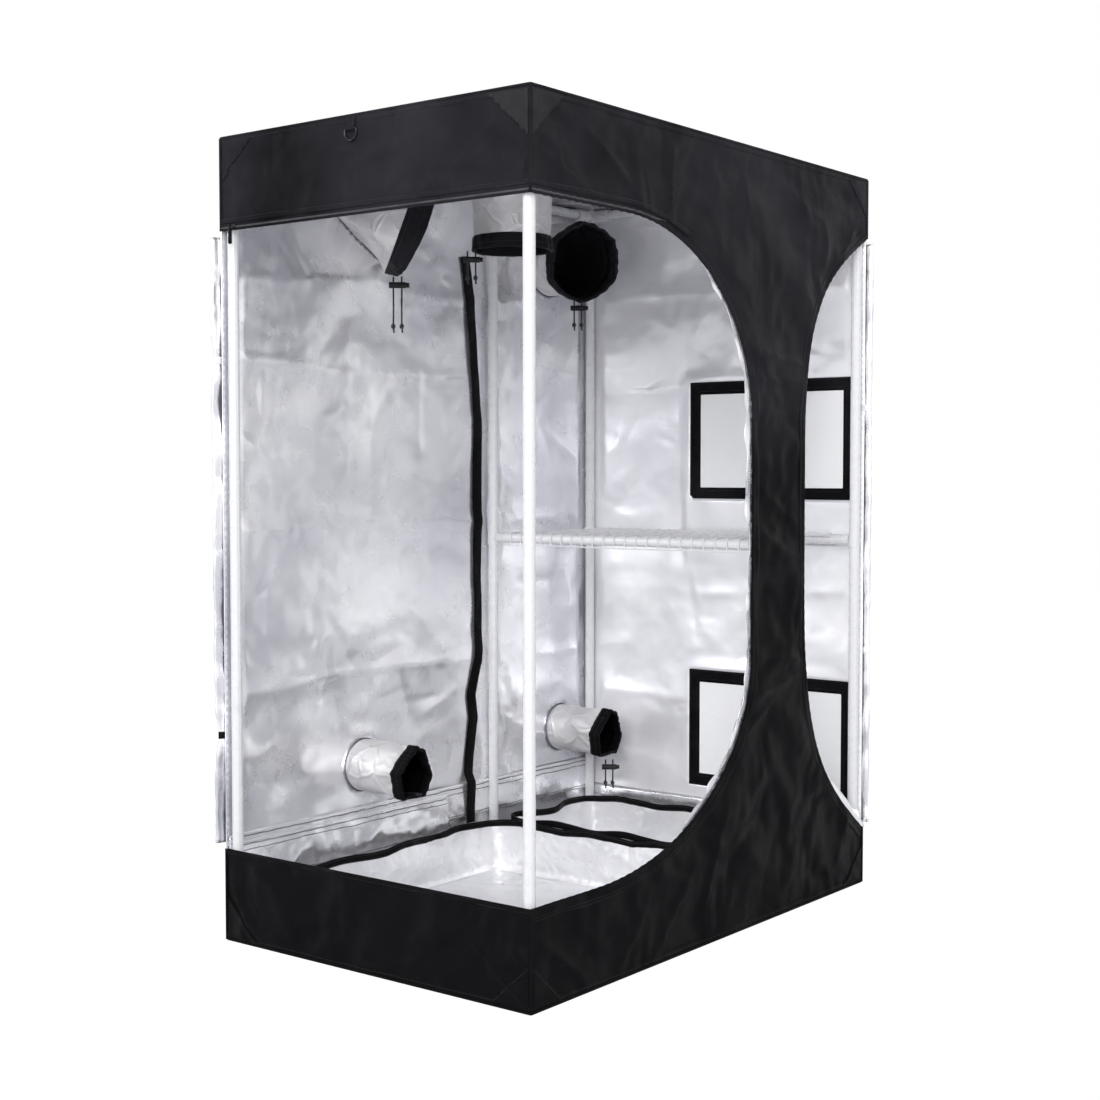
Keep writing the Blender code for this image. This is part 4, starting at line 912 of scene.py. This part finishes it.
def divider_strip(wall):
    """Half of the fastener that a divider hangs from: a limp black tape, sewn at its ends."""
    z, x = (np.array(v) / 1000 for v in zip(*STRIP))
    places = even(np.stack([x, z], axis=1), 0.008)
    hang = fade(places[:, 1], 0.10, 0.22) * fade(1.22 - places[:, 1], 0, 0.08)
    standoff = 0.0012 + 0.0022 * hang * (0.6 + 0.4 * np.sin(places[:, 1] * 19))
    standoff = standoff + 0.0095 * fade(0.200 - places[:, 1], 0.0, 0.022)
    path = wall.at(places, -0.0012)
    path[:, 1] = path[:, 1] - standoff
    twist = 0.10 * np.sin(places[:, 1] * 13 + 1.0) * hang
    normals = np.stack([np.sin(twist), -np.cos(twist), np.zeros(len(twist))], axis=1)
    ribbon("divider_strip", path, normals, 0.025, 0.0014, BLACK)
    across = unit(np.cross(np.gradient(path, axis=0), normals))
    coil = zip_coil("divider_zip", path + across * 0.009 + normals * 0.0010, (0, -1, 0), BLACK)


def pocket():
    """The sewn strip along the foot of the back wall, with a loose skirt over its left part."""
    seams = []
    for name, x0, x1, z0, z1, lift, loose in (
        ("pocket", -0.512, 0.512, 0.113, 0.176, 0.0040, 0.0012),
        ("skirt", -0.506, 0.044, 0.088, 0.162, 0.0062, 0.0030),
    ):
        loop = rectangle((x0, z0), (x1, z1))

        def push(u, v, edge):
            ease = fade(z1 - v, 0.0, 0.02)
            wave = np.sin(u * 26 + 2 * soft(u * 6, v * 4, 5)) + 1.1 * crumple(u, v, 0.05, 77)
            return -lift - loose * ease * (0.8 + wave * 0.6)

        part = Wall(BACK, [loop], push, 0.006)
        part.cloth(f"back_{name}", [SILVER, SILVER], (x1 - x0, z1 - z0), held="hung")
        for z in (z1 - 0.004, z1 - 0.013, z0 + 0.006):
            seams.append(part.row((x0 + 0.004, z), (x1 - 0.004, z), -0.0009))
        line = [(x0 + 0.001, z1), (x1 - 0.001, z1)]
        part.tape(f"back_{name}_fold", line, 0.0060, 0.0, SILVER, 0.0024)
    stitches("pocket_stitching", seams, (0, -1, 0), BLACK_THREAD, 0.0052)
    for k, path in enumerate(seams):
        puckers = 0.0011 * soft(np.arange(len(path)) * 0.9, k * 3.0, 8)
        path = path + np.outer(puckers, (0, 0, 1)) - (0, 0.0002, 0)
        ribbon(f"pocket_seam_{k}", path, (0, -1, 0), 0.0011, 0.0009, SEAM_THREAD)


def right():
    """The film wall with two bound vents, each with a net and a cover outside."""
    loops = [rectangle((-SIDE_HALF, CLOTH_FOOT), (SIDE_HALF, CLOTH_TOP))]
    for z in VENT_Z:
        loops.append(rounded((VENT_Y - 0.186, z - 0.1175), (VENT_Y + 0.186, z + 0.1175), 0.008))
    loose = film_push(60, SIDE_POSTS, 0.30, (1.150, 0.960, 0.560, 0.330), -0.305)

    def push(u, v, edge):
        """Leaves room inside for the shelf and its rail, and outside for the upper cover folded down."""
        shelf = fade(v, 0.590, 0.640) * fade(-v, -0.985, -0.935)
        made = loose(u, v, edge) + 0.0035 * shelf * fade(edge, 0.004, 0.035)
        made = np.maximum(made, -0.0003 - 0.012 * (1 - shelf))
        flap = -0.0007 + 0.060 * np.abs(v - COVER_FOOT) + 0.05 * fade(np.abs(u - VENT_Y), 0.200, 0.235)
        return np.minimum(made, flap)

    wall = Wall(RIGHT, loops, push)
    # the lining takes the paler copy of the film, painted light
    cloth = wall.cloth("right_cloth", [BLACK, PAINTED_LIT_FILM], (0.66, 1.35), "right_wall", 0.70)

    def on_wall(u, v, edge):
        return push(u, v, edge_distance(u, v, loops)) - 0.0014 - 0.0010 * fade(edge, 0, 0.01)

    strip = Wall(RIGHT, [rectangle((-0.322, 0.098), (0.322, 0.124))], on_wall)
    strip.cloth("right_strip", [SILVER, SILVER], (0.644, 0.026), held="hung")
    rows = [strip.row((-0.318, z), (0.318, z), -0.0009) for z in (0.102, 0.120)]
    stitches("right_strip_stitching", rows, (-1, 0, 0), BLACK_THREAD, 0.0052)
    for level, z in zip(("lower", "upper"), VENT_Z):
        vent(level, z)


def vent(level, z):
    """A net with a wide black border, sewn into the wall, and the cover that folds down outside it."""

    def outline(by, radius, steps=6):
        """The opening's outline, moved inward."""
        half_y, half_z = 0.1857 - by, 0.1172 - by
        return rounded((VENT_Y - half_y, z - half_z), (VENT_Y + half_y, z + half_z), radius, steps)

    def slack(u, v, edge):
        sway = soft(u * 8, v * 9, 4) + 0.5 * soft(u * 21, v * 18, 6)
        return 0.0003 * sway * fade(edge, 0.0, 0.06)

    net = Wall(RIGHT, [outline(0, 0.008)], slack)
    net.cloth(f"{level}_net_cloth", [NET], (0.371, 0.234), f"{level}_vent_net", thickness=0.0005)
    loops = [outline(-0.003, 0.002, 2), outline(0.0225, 0.001, 2)]
    border = Wall(RIGHT, loops, lambda u, v, edge: -0.0002 - 0.0001 * fade(edge, 0.0, 0.004), 0.006)
    border.cloth(f"{level}_vent_border", [TAPE], (0.0255, 1.16), thickness=0.0007)
    rows = [border.at(even(closed(outline(by, 0.009)), 0.006), -0.0003) for by in (0, 0.016)]
    stitches(f"{level}_vent_stitching", rows, (-1, 0, 0), BLACK_THREAD)
    body, half_y, half_z, hem = f"{level}_flap", 0.190, 0.1215, 0.005
    loop = rounded((VENT_Y - half_y, z - half_z), (VENT_Y + half_y, z + half_z), 0.008)
    plane = (*RIGHT[:3], (COVER_X, 0, 0))
    fold = Wall(plane, [loop], lambda u, v, edge: 0.0004 * fade(edge, 0.004, 0.05), 0.010)
    flat, node = (0.380, 0.243), f"{level}_vent_flap"
    fold.cloth(f"{level}_cover_cloth", [BLACK, BLACK], flat, node, held="hung", body=body)
    low, high = (VENT_Y - half_y + hem, z - half_z + hem), (VENT_Y + half_y - hem, z + half_z - hem)
    line = closed(rounded(low, high, 0.006))
    fold.tape(f"{level}_cover_edge", line, 0.009, 0.0007, thickness=0.0006, body=body)


def roof_and_floor():
    def sag(u, v, edge):
        rails = np.minimum(HALF_W - np.abs(u), HALF_D - np.abs(v))
        return -0.0030 * fade(rails, 0.03, 0.20) + 0.0008 * crumple(u, v, 0.10, 91) * fade(edge, 0, 0.05)

    ends = rectangle((-HALF_W, -HALF_D), (HALF_W, HALF_D))
    wall = Wall(ROOF, [ends, circle(ROOF_DUCT, LARGE_BORE / 2 + 0.004)], sag)
    wall.cloth("roof_cloth", [BLACK, SILVER], (1.03, 0.66), "roof_panel", 0.66)
    wall.tape("roof_duct_binding", closed(circle(ROOF_DUCT, LARGE_BORE / 2 + 0.007)), 0.013, 0.0008)
    rows = [wall.at(even(closed(circle(ROOF_DUCT, r)), 0.006), 0.0016) for r in (0.0745, 0.0835)]
    stitches("roof_stitching", rows, (0, 0, 1), BLACK_THREAD)

    def rest(u, v, edge):
        return -0.0002 - 0.0004 * (1 + crumple(u, v, 0.12, 95) / 2) * fade(edge, 0, 0.05)

    ground = Wall(GROUND, [ends], rest, 0.014)
    cloth = ground.cloth("floor_cloth", [BLACK, SILVER], (1.03, 0.66), "floor_panel", held="laid")


# Duct sleeves

SLEEVE_SIDES = 96
SLEEVE_ANGLES = turn(SLEEVE_SIDES)
# How each mouth falls: its facing, how far it is drawn to even flats, and its collar's width
MOUTHS = {
    "lower_left": ((0.10, -1.0, -0.06), None, 0.0235),
    "lower_right": ((0.10, -1.0, -0.06), None, 0.0235),
    "upper_left": ((0.77, -0.51, -0.38), 0.020, 0.0300),
    "upper_right": ((-0.50, -0.82, -0.20), 0.045, 0.024),
    "roof": ((0.0, 0.0, -1.0), 0.018, 0.024),
}
# The corners of a lower collar drawn to flats: each one's angle and how far out it stands, in radii
LOWER_MOUTH = ((60, 1.00), (90, 1.02), (173, 1.04), (227, 1.10), (305, 1.02), (350, 1.00))


def polygon_reach(angles, corners):
    """How far a many-sided outline reaches at each angle."""
    reach = np.ones_like(angles)
    for k, (start, size) in enumerate(corners):
        end, other = corners[(k + 1) % len(corners)]
        a, b = math.radians(start), math.radians(end)
        p, q = np.array((math.cos(a), math.sin(a))) * size, np.array((math.cos(b), math.sin(b))) * other
        within = (angles - a) % math.tau < (b - a) % math.tau
        slope = np.cos(angles) * (q - p)[1] - np.sin(angles) * (q - p)[0]
        reach[within] = (p[0] * q[1] - p[1] * q[0]) / slope[within]
    return reach


def under_chord(angles, t):
    """The upper left duct's outline is cut straight underneath, less so towards its mouth."""
    return (0.015 + 0.062 * t) / np.maximum(np.cos(angles - 4.154), 0.05)


class Sleeve:
    """A cloth tube that leaves its wall square to it and turns towards its mouth."""

    def __init__(self, name, base, front, offset, bore, length):
        facing, self.flats, self.hem = MOUTHS[name]
        self.name, self.length, self.radius = name, length, bore / 2 + 0.0006
        self.base, self.front = Vector(base), Vector(front)
        self.reach, self.turned = Vector(offset).normalized() * length, Vector(facing).normalized()
        self.start = 1 - self.hem / length
        self.seed = len(name) * 7 + ord(name[-1])

    def hoop(self, t, size, lift=0.0):
        """A ring of points part of the way along, of this radius or radii, moved along its axis."""
        bend = 3 * t * t - 2 * t * t * t if t < 1 else 1.0
        centre = self.base + (self.front * self.length * t).lerp(self.reach * t, bend)
        normal = self.front.lerp(self.turned, bend).normalized()
        across = Vector((1, 0, 0))
        across = (across - normal * across.dot(normal)).normalized()
        other = normal.cross(across)
        lift = np.broadcast_to(lift, SLEEVE_ANGLES.shape)
        spread = np.outer(np.cos(SLEEVE_ANGLES) * size, across)
        spread = spread + np.outer(np.sin(SLEEVE_ANGLES) * size, other)
        return np.array(centre) + spread + np.outer(lift, normal)

    def fall(self, t):
        """How far the cloth stands in or out of its round bore."""
        a, seed = SLEEVE_ANGLES, self.seed
        if self.name.startswith("lower"):
            flats = polygon_reach(a, LOWER_MOUTH) - 1
        else:
            corner = (a + 0.35 + 0.12 * np.sin(a + seed)) % (math.tau / 6) - math.tau / 12
            flats = (0.955 / np.cos(corner) - 1) * self.flats / 0.10
        loose = float(fade(t, 0.0, 0.3))
        sags = 0.030 * np.sin(2 * a + seed) * loose
        folds = crumple(a * self.radius, t * self.length, 0.055, seed)
        folds = 0.0021 * (folds - 0.6 * np.abs(soft(a * 2.2, t * 4, seed)))
        gathers = 0.0008 * np.cos(21 * a + 3 * soft(a * 1.6, t * 2.0, seed + 8)) * float(fade(t, 0.6, 0.9))
        out = self.radius * (flats * float(fade(t, 0.35, 0.95)) + sags * t) + folds * loose + gathers
        if self.name == "upper_left":
            out = out - np.maximum(0.0, self.radius - under_chord(a, t))
        return out

    def cloth(self):
        radius = self.radius
        flange = ((0.0075, -0.0022), (0.0014, -0.0018), (0, -0.0006))
        rings = [self.hoop(0, radius + self.fall(0) + out, lift) for out, lift in flange]
        rings += [self.hoop(t, radius + self.fall(t)) for t in np.linspace(0.03, self.start + 0.02, 28)]
        made = loft(f"{self.name}_tube", rings, [CREAM, BLACK, SILVER, BLACK], crease=35)
        for face in made.data.polygons[: len(flange) * SLEEVE_SIDES]:
            face.material_index = 2
        thicken(made, CLOTH, -1.0, 1).modifiers["cloth"].material_offset_rim = 1
        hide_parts(f"{self.name}_sleeve")

    def collar(self):
        """The black hem that the drawcord runs in, turned back over the tube's end."""
        ruffle = 0.0007 * np.cos(17 * SLEEVE_ANGLES + 2 * soft(SLEEVE_ANGLES * 2, 0.0, self.seed + 12))
        start, span = self.start, 1 - self.start
        profile = [(start - 0.01, 0.0004), (start, 0.0020), (start + 0.35 * span, 0.0030)]
        profile += [(start + 0.75 * span, 0.0028), (0.985, 0.0038), (1.0, 0.0034), (1.006, 0.0012)]
        profile += [(1.0, -0.0016), (0.985, -0.0022), (start + 0.4 * span, -0.0022), (start, -0.0020)]

        def size(t):
            return self.radius + self.fall(min(t, 1.0)) + ruffle * float(fade(t, start, 1.0))

        rings = [self.hoop(t, size(t) + out) for t, out in profile]
        made = thicken(loft(f"{self.name}_collar", rings, [BLACK]), 0.0007)
        rows = []
        for t in (start + 0.12 * span, start + 0.62 * span):
            ring = self.hoop(t, size(t) + 0.0034)
            rows.append(np.concatenate([ring, ring[:1]]))
        stitches(f"{self.name}_stitching", rows, self.turned, BLACK_THREAD, 0.0048)

    def outer_cover(self):
        """The cloth cover on the duct hole's outer side, gathered shut to a knot in its middle."""
        out = -np.array(self.front)
        base = np.array(self.base) + out * 0.0014
        side = np.array((1.0, 0, 0))
        up = np.cross(out, side)
        circling = np.outer(np.cos(SLEEVE_ANGLES), side) + np.outer(np.sin(SLEEVE_ANGLES), up)
        rings = []
        pleats = 0.0006 * np.cos(16 * SLEEVE_ANGLES + 1.2 * np.sin(SLEEVE_ANGLES * 3))
        for share in (1.06, 1.0, 0.90, 0.75, 0.60, 0.45, 0.30, 0.17, 0.08, 0.03):
            pleat = pleats * fade(share, 1.05, 0.5)
            swell = 0.0010 * math.sin(math.pi * min(1.0, share)) - 0.0004
            spot = (self.radius * share) * circling
            rings.append(base + spot + np.outer(pleat + swell, out))
        points = np.concatenate(rings + [(base + out * 0.0006)[None]])
        faces = grid_faces(len(rings), SLEEVE_SIDES, True)
        last = (len(rings) - 1) * SLEEVE_SIDES
        faces += [(last + k, last + (k + 1) % SLEEVE_SIDES, len(points) - 1) for k in range(SLEEVE_SIDES)]
        made = thicken(piece(f"{self.name}_outer_cover", points, faces, [BLACK]), 0.0006)


def sleeves():
    made = {}
    for name, (x, z), bore, length, offset in DUCTS:
        made[name] = Sleeve(name, (x, SIDE_HALF, z), (0, -1, 0), offset, bore, length)
    made["roof"] = Sleeve("roof", (*ROOF_DUCT, 1.3480), (0, 0, -1), (0, 0, -1), LARGE_BORE, 0.146)
    for one in made.values():
        one.cloth()
        one.collar()
        one.outer_cover()
    return made


# Drawcords

# The level direction that the cord locks lie along
ALONG = np.array((math.cos(math.radians(-52)), math.sin(math.radians(-52)), 0))


def drawcord(place, crown, tail):
    """The two tails of a collar's cord. Each leaves the collar, passes the lock and ends in a knot."""
    for side, label in ((-1, "a"), (1, "b")):
        start = crown + ALONG * 0.0075 * side
        depth = np.linspace(0, tail - 0.010, 18)
        sway = 0.0002 * np.sin(depth * 60 + side) * fade(depth, 0.025, 0.05)
        path = [tuple(start + ALONG * s + np.array((0, 0, -d))) for d, s in zip(depth, sway)]
        curve = bpy.data.curves.new(f"{place}_cord_{label}", "CURVE")
        curve.dimensions = "3D"
        curve.bevel_depth = 0.0016
        curve.bevel_resolution = 4
        curve.use_fill_caps = True
        spline = curve.splines.new("POLY")
        spline.points.add(len(path) - 1)
        for point, spot in zip(spline.points, path):
            point.co = (*spot, 1.0)
        spline.use_smooth = True
        curve.materials.append(BRAID)
        cord = bpy.data.objects.new(f"{place}_cord_{label}", curve)
        bpy.context.scene.collection.objects.link(cord)
        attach(cord, "frame")
        end = np.array(path[-1])
        knot = cord_knot(f"{place}_knot_{label}", end)
        if f"{place}_drawcord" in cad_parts:
            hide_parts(f"{place}_drawcord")


def cord_knot(name, end):
    """An overhand knot: a short cord wound round itself, with its cut end below."""
    turns = np.linspace(0, 3.4 * math.pi, 44)
    height = np.linspace(0.0034, -0.0030, 44)
    height = height + 0.0010 * np.sin(turns * 1.5)
    path = np.stack([0.0028 * np.cos(turns), 0.0028 * np.sin(turns), height], axis=1)
    tail = np.array([(0.0008, 0.0004, -0.0048), (0.0012, 0.0003, -0.0075), (0.0020, 0.0002, -0.0110)])
    path = np.concatenate([path, tail]) + end
    normals = unit(np.cross(np.gradient(path, axis=0), (0.3, 0.2, 1.0)))
    return tube(name, path, normals, 0.0016, BRAID, sides=8)


def lock_piece(name, centre):
    """A cord lock on a sleeve whose lock has no solid of its own: a barrel, a rib and a push button."""
    profile = [(-0.0150, 0.0), (-0.0150, 0.0042), (-0.0142, 0.0052), (-0.0060, 0.0055), (-0.0052, 0.0048)]
    profile += [(-0.0040, 0.0055), (0.0126, 0.0055), (0.0142, 0.0052), (0.0150, 0.0044), (0.0154, 0.0042)]
    profile += [(0.0198, 0.0042), (0.0208, 0.0032), (0.0210, 0.0)]
    side = np.cross(ALONG, (0, 0, 1))
    up = np.array((0, 0, 1))
    rings = []
    for x, r in profile:
        rings.append([centre + ALONG * x + side * r * math.cos(a) + up * r * math.sin(a) for a in turn(24)])
    loft(name, rings, [LOCK], crease=40)


def drawcords(made):
    """Tails under four collars. The lower left collar's lock lies inside its mouth."""
    for place in ("upper_left", "lower_right", "roof"):
        low, high = (np.array(v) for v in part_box(f"{place}_drawcord"))
        middle = (low + high) / 2
        crown = np.array((middle[0], middle[1], high[2] - 0.0014))
        drawcord(place, crown, high[2] - low[2] - 0.002)
    mouth = made["upper_right"].hoop(1.0, made["upper_right"].radius + 0.0034)
    near = mouth[mouth[:, 2] < mouth[:, 2].min() + 0.001]
    crown = near[np.argmin(near @ ALONG)] - np.array((0, 0, 0.0016))
    drawcord("upper_right", crown, 0.060)
    lock_piece("upper_right_lock", crown - np.array((0, 0, 0.0155)))
    one = made["lower_left"]
    floor = one.hoop(0.90, one.radius - 0.0090)
    lock_piece("lower_left_lock", floor[np.argmin(floor[:, 2])])


# Floor trays

def tray(name, low, high, body):
    """A waterproof liner: bowed crumpled walls, a creased base and a black bound rim."""
    loop = rounded(low, high, 0.030, 8)
    outline = even(closed(loop), 0.006)[:-1]
    run = unit(np.roll(outline, -1, axis=0) - np.roll(outline, 1, axis=0))
    outward = np.stack([run[:, 1], -run[:, 0]], axis=1)
    steps = np.linalg.norm(np.roll(outline, -1, axis=0) - outline, axis=1)
    along = np.concatenate([[0], np.cumsum(steps)[:-1]])
    total = steps.sum()
    phase = math.tau * round(total / 0.110) * along / total
    count = len(outline)

    def ring(share, extra=0.0):
        ripple = share if share > 0.5 else share * 2 / 3
        push = 0.0060 * ripple * (0.5 + 0.5 * np.sin(phase) * np.cos(phase / 3)) + extra
        bow = 0.0100 * math.sin(math.pi * share) * (0.6 + 0.4 * np.sin(along * 9))
        crease = 0.0016 * crumple(along, share * 0.1, 0.05, 17) * min(1.0, share * 4)
        wide = high[0] - low[0]
        off = (outline[:, 0] - (low[0] + 0.42 * wide)) / (0.22 * wide)
        slump = fade(outward[:, 1], 0.6, 1.0) * np.exp(-(off**2))
        lean = 0.022 * share**1.6 * slump + 0.009 * max(0.0, 1 - share / 0.15) ** 2
        spot = outline - outward * (0.0007 + push + bow + lean + np.maximum(crease, -0.0006))[:, None]
        lift = 0.0030 * ripple * np.sin(2 * phase / 3)
        return np.column_stack([spot, 0.0022 + 0.0995 * share + lift])

    shares = np.concatenate([[0, 0.02, 0.05, 0.09], np.linspace(0.15, 1, 14)])
    rings = [ring(s) for s in shares]
    walls = loft(f"{name}_walls", rings, [LINER], body=body)
    thicken(walls, CLOTH)
    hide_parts(name)
    base_loop = [tuple(p) for p in rings[0][:, :2]]
    places, triangles = fill([base_loop], 0.010)
    edge = edge_distance(places[:, 0], places[:, 1], [base_loop[::4]])
    rise = 0.0030 * (1 + crumple(places[:, 0], places[:, 1], 0.05, 55) / 1.75) * fade(edge, 0.002, 0.03)
    base = piece(f"{name}_base", np.column_stack([places, 0.0023 + rise]), triangles, [LINER], body)
    thicken(base, CLOTH)
    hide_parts(name)
    top = ring(0.965, -0.0004)
    section = ((-0.0065, -0.0012), (-0.0058, -0.0019), (0.0058, -0.0019), (0.0066, -0.0010))
    section += ((0.0066, 0.0010), (0.0058, 0.0019), (-0.0058, 0.0019), (-0.0065, 0.0012))
    normals = np.column_stack([outward, np.zeros(count)])
    points, faces = section_sweep(top, normals, section, True)
    piece(f"{name}_binding", points, faces, [TAPE], body, crease=50)
    inner = np.concatenate([top, top[:1]]) - np.concatenate([normals, normals[:1]]) * 0.0020
    rows = [inner + np.array((0, 0, z)) for z in (-0.0045, 0.0035)]
    stitches(f"{name}_stitching", rows, (0, 0, 1), BLACK_THREAD, 0.005, body)


def trays():
    clear = 0.0135
    half = POST_Y - clear
    tray("left_tray", (-POST_X + clear, -half), (DIVIDE_X - clear, half), "left_liner")
    tray("right_tray", (DIVIDE_X + clear, -half), (POST_X - clear, half), "right_liner")


# Rolled doors

def rolled_door(name, axis, heading, size, low, high, turns, body, node, seed, tie_shares, tie_mats):
    """A door rolled flat with its film outward, held by two elastic ties."""
    width, thickness = size
    along = np.array((math.cos(heading), math.sin(heading), 0))
    across = np.array((-along[1], along[0], 0))
    middle = np.array(axis) + along * (width / 2 - thickness / 2)
    angles = np.linspace(0, math.tau * turns, int(26 * turns))
    gap = 0.62 * (thickness / 2) / turns
    shrink = angles / math.tau * gap
    ties = [low + (high - low) * s for s in tie_shares]
    levels = np.linspace(low, high, 170)

    def hoop(z, theta, inward):
        nearest = min(abs(z - tie) for tie in ties)
        squeeze = 1 - 0.16 * max(0.0, 1 - nearest / 0.04)
        loose = 0.0017 * crumple(theta * width / 6, z, 0.034, seed)
        loose = loose * (1 - 0.8 * max(0.0, 1 - nearest / 0.03))
        a = (width / 2 - inward) * squeeze * (1 + 0.015 * math.sin(z * 31)) + loose * 0.8
        b = thickness / 2 - inward + loose
        lean = 0.0011 * math.sin(z * 17 + seed) + 0.0008 * math.sin(z * 61 + 2 * seed)
        centre = middle + across * lean
        spread = np.outer(a * np.cos(theta), along) + np.outer(b * np.sin(theta), across)
        return centre + spread + np.array((0, 0, z))

    rings = [hoop(z, angles, shrink + 0.0012) for z in levels]
    cloth = loft(name, rings, [SILVER, BLACK], False, body)
    thicken(cloth, 0.0006, 0.0, 1)
    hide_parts(node)
    free = np.array([ring[0] for ring in rings])
    normals = np.broadcast_to(along, free.shape)
    ribbon(f"{name}_edge", free + along * 0.0004, normals, 0.007, 0.0018, PAINTED_LIT_FILM, body)
    for k, tie in enumerate(ties):
        band = hoop(tie, turn(48), 0.0002)
        outward = unit(band - (middle + np.array((0, 0, tie))))
        strap = ribbon(f"{name}_tie_{k}", band, outward, 0.012, 0.0010, tie_mats[k], body, cyclic=True)


def doors():
    rolled_door(
        "main_door_cloth", (-0.5233, 0.3383, 0), 0.0, (0.092, 0.016), 0.167, 1.185, 2.6,
        "main_door", "main_door_roll", 11, (0.18, 0.80), (TAPE, PAINTED_LIT_FILM),
    )
    rolled_door(
        "small_door_cloth", (0.5213, -0.3363, 0), math.pi / 2, (0.030, 0.012), 0.118, 1.228, 1.8,
        "small_door", "small_door_roll", 23, (0.30, 0.72), (PAINTED_LIT_FILM, PAINTED_LIT_FILM),
    )


def door_tail():
    """The small door's foot, which stays sewn to the base band and shows its film along the edge."""
    line = even(SMALL_BASE[26:], 0.005)
    along = np.arange(len(line)) * 0.005
    inward = inset(line, 1.0) - line
    grown = fade(along, 0.0, 0.05)
    rows = []
    for share in np.linspace(0, 1, 6):
        wave = 0.0040 * soft(along * 34, share * 3, 31) + 0.0026 * np.sin(along * 110 + share * 5)
        out = (-0.0020 + 0.0150 * share + wave * share) * grown
        spot = line + inward * out[:, None]
        deep = -0.3270 - 0.0050 * np.sin(math.pi * share) * grown + 0.0016 * soft(along * 50, share * 3, 35)
        deep = np.minimum(deep, -0.3284)
        rows.append(np.column_stack([np.minimum(spot[:, 0], HALF_W + 0.004), deep - 0.0016, spot[:, 1]]))
    thicken(loft("small_door_tail", rows, [SILVER], False), 0.0006)


# Small pieces

def ring_tab():
    """Webbing folded round the D-ring's bar and sewn to the top band."""
    centre = np.array((-0.5180, 0.025, 1.328))
    radius = 0.0024
    path = [(-0.5160, 1.3475), (-0.5172, 1.3440), (-0.5181, 1.3370), (-0.5184, 1.3305)]
    path += arc((centre[0], centre[2]), (radius, radius), 100, 262, 12)
    path += [(-0.5172, 1.3250), (-0.5160, 1.3236)]
    flat = even(path, 0.0012)
    run = unit(np.gradient(flat, axis=0))
    spots = np.column_stack([flat[:, 0], np.full(len(flat), centre[1]), flat[:, 1]])
    normals = np.column_stack([run[:, 1], np.zeros(len(flat)), -run[:, 0]])
    ribbon("ring_tab", spots, normals, 0.018, 0.0010, TAPE)
    sides = (centre[1] - 0.007, centre[1] + 0.007)
    rows = [[(-0.5186, y, 1.3450), (-0.5190, y, 1.3340)] for y in sides]
    stitches("ring_tab_stitching", rows, (-1, 0, 0), BLACK_THREAD, 0.003)


FINISHES = (
    (("corner", "tee"), PLASTIC),
    (("cord_lock",), LOCK),
    (("d_ring", "zip_slider", "zip_pull"), PLATE),
    (("post", "rail", "bar", "shelf"), PAINT),
)


def dress_frame():
    """A finish for each solid that stays in view."""
    for name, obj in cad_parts.items():
        for words, mat in FINISHES:
            if any(word in name for word in words):
                for slot in obj.material_slots:
                    slot.material = mat
                break


# Studio

def studio():
    """Soft light, a white background and a pale floor that keeps the shadow."""
    world = bpy.data.worlds.new("studio")
    bpy.context.scene.world = world
    world.use_nodes = True
    nodes, links = world.node_tree.nodes, world.node_tree.links
    nodes.clear()
    path = nodes.new("ShaderNodeLightPath")
    seen = path.outputs["Is Camera Ray"]
    for output in ("Is Glossy Ray", "Is Transmission Ray"):
        either = nodes.new("ShaderNodeMath")
        either.operation = "MAXIMUM"
        links.new(seen, either.inputs[0])
        links.new(path.outputs[output], either.inputs[1])
        seen = either.outputs[0]
    mix, out = nodes.new("ShaderNodeMixShader"), nodes.new("ShaderNodeOutputWorld")
    links.new(seen, mix.inputs[0])
    for socket, color, strength in ((1, (0.94, 0.96, 1.0, 1.0), 0.52), (2, (1, 1, 1, 1), 1.0)):
        sky = nodes.new("ShaderNodeBackground")
        sky.inputs["Color"].default_value = color
        sky.inputs["Strength"].default_value = strength
        links.new(sky.outputs[0], mix.inputs[socket])
    links.new(mix.outputs[0], out.inputs[0])
    lamps = (
        ("key", (-6.8, -3.0, 4.1), 4.8, 435),
        ("front", (-0.4, -3.6, 2.0), 2.2, 8),
        ("low", (-2.6, -2.4, 0.45), 1.6, 4),
        ("rear", (4.8, 4.4, 3.4), 2.6, 260),
    )
    for name, place, size, power in lamps:
        light = bpy.data.lights.new(name, "AREA")
        light.size = size
        light.energy = power
        lamp = bpy.data.objects.new(name, light)
        lamp.location = place
        lamp.rotation_euler = (Vector((0, 0, 0.65)) - Vector(place)).to_track_quat("-Z", "Y").to_euler()
        bpy.context.scene.collection.objects.link(lamp)
    look = Look("pale_floor", base_color=(0.93, 0.93, 0.93, 1.0), roughness=0.9, specular_ior_level=0.0)
    glow = look.add("Emission", {"Color": (1, 1, 1, 1), "Strength": 1.08})
    ray = look.add("LightPath")
    amount = look.maths("MULTIPLY", ray.outputs["Is Camera Ray"], 0.86)
    blend = look.add("MixShader", {0: amount, 1: look.shader.outputs[0], 2: glow.outputs[0]})
    look.put(look.tree.nodes["Material Output"].inputs["Surface"], blend.outputs[0])
    mesh = bpy.data.meshes.new("studio_floor")
    around = [(14 * math.cos(a), 14 * math.sin(a), -0.0002) for a in turn(64)]
    mesh.from_pydata(around, [], [tuple(range(64))])
    mesh.materials.append(look.mat)
    floor = bpy.data.objects.new("studio_floor", mesh)
    bpy.context.scene.collection.objects.link(floor)
    bpy.context.scene.view_settings.view_transform = "Standard"


front()
left_bands()
corner_piping()
back()
right()
roof_and_floor()
drawcords(sleeves())
trays()
doors()
door_tail()
ring_tab()
dress_frame()
studio()
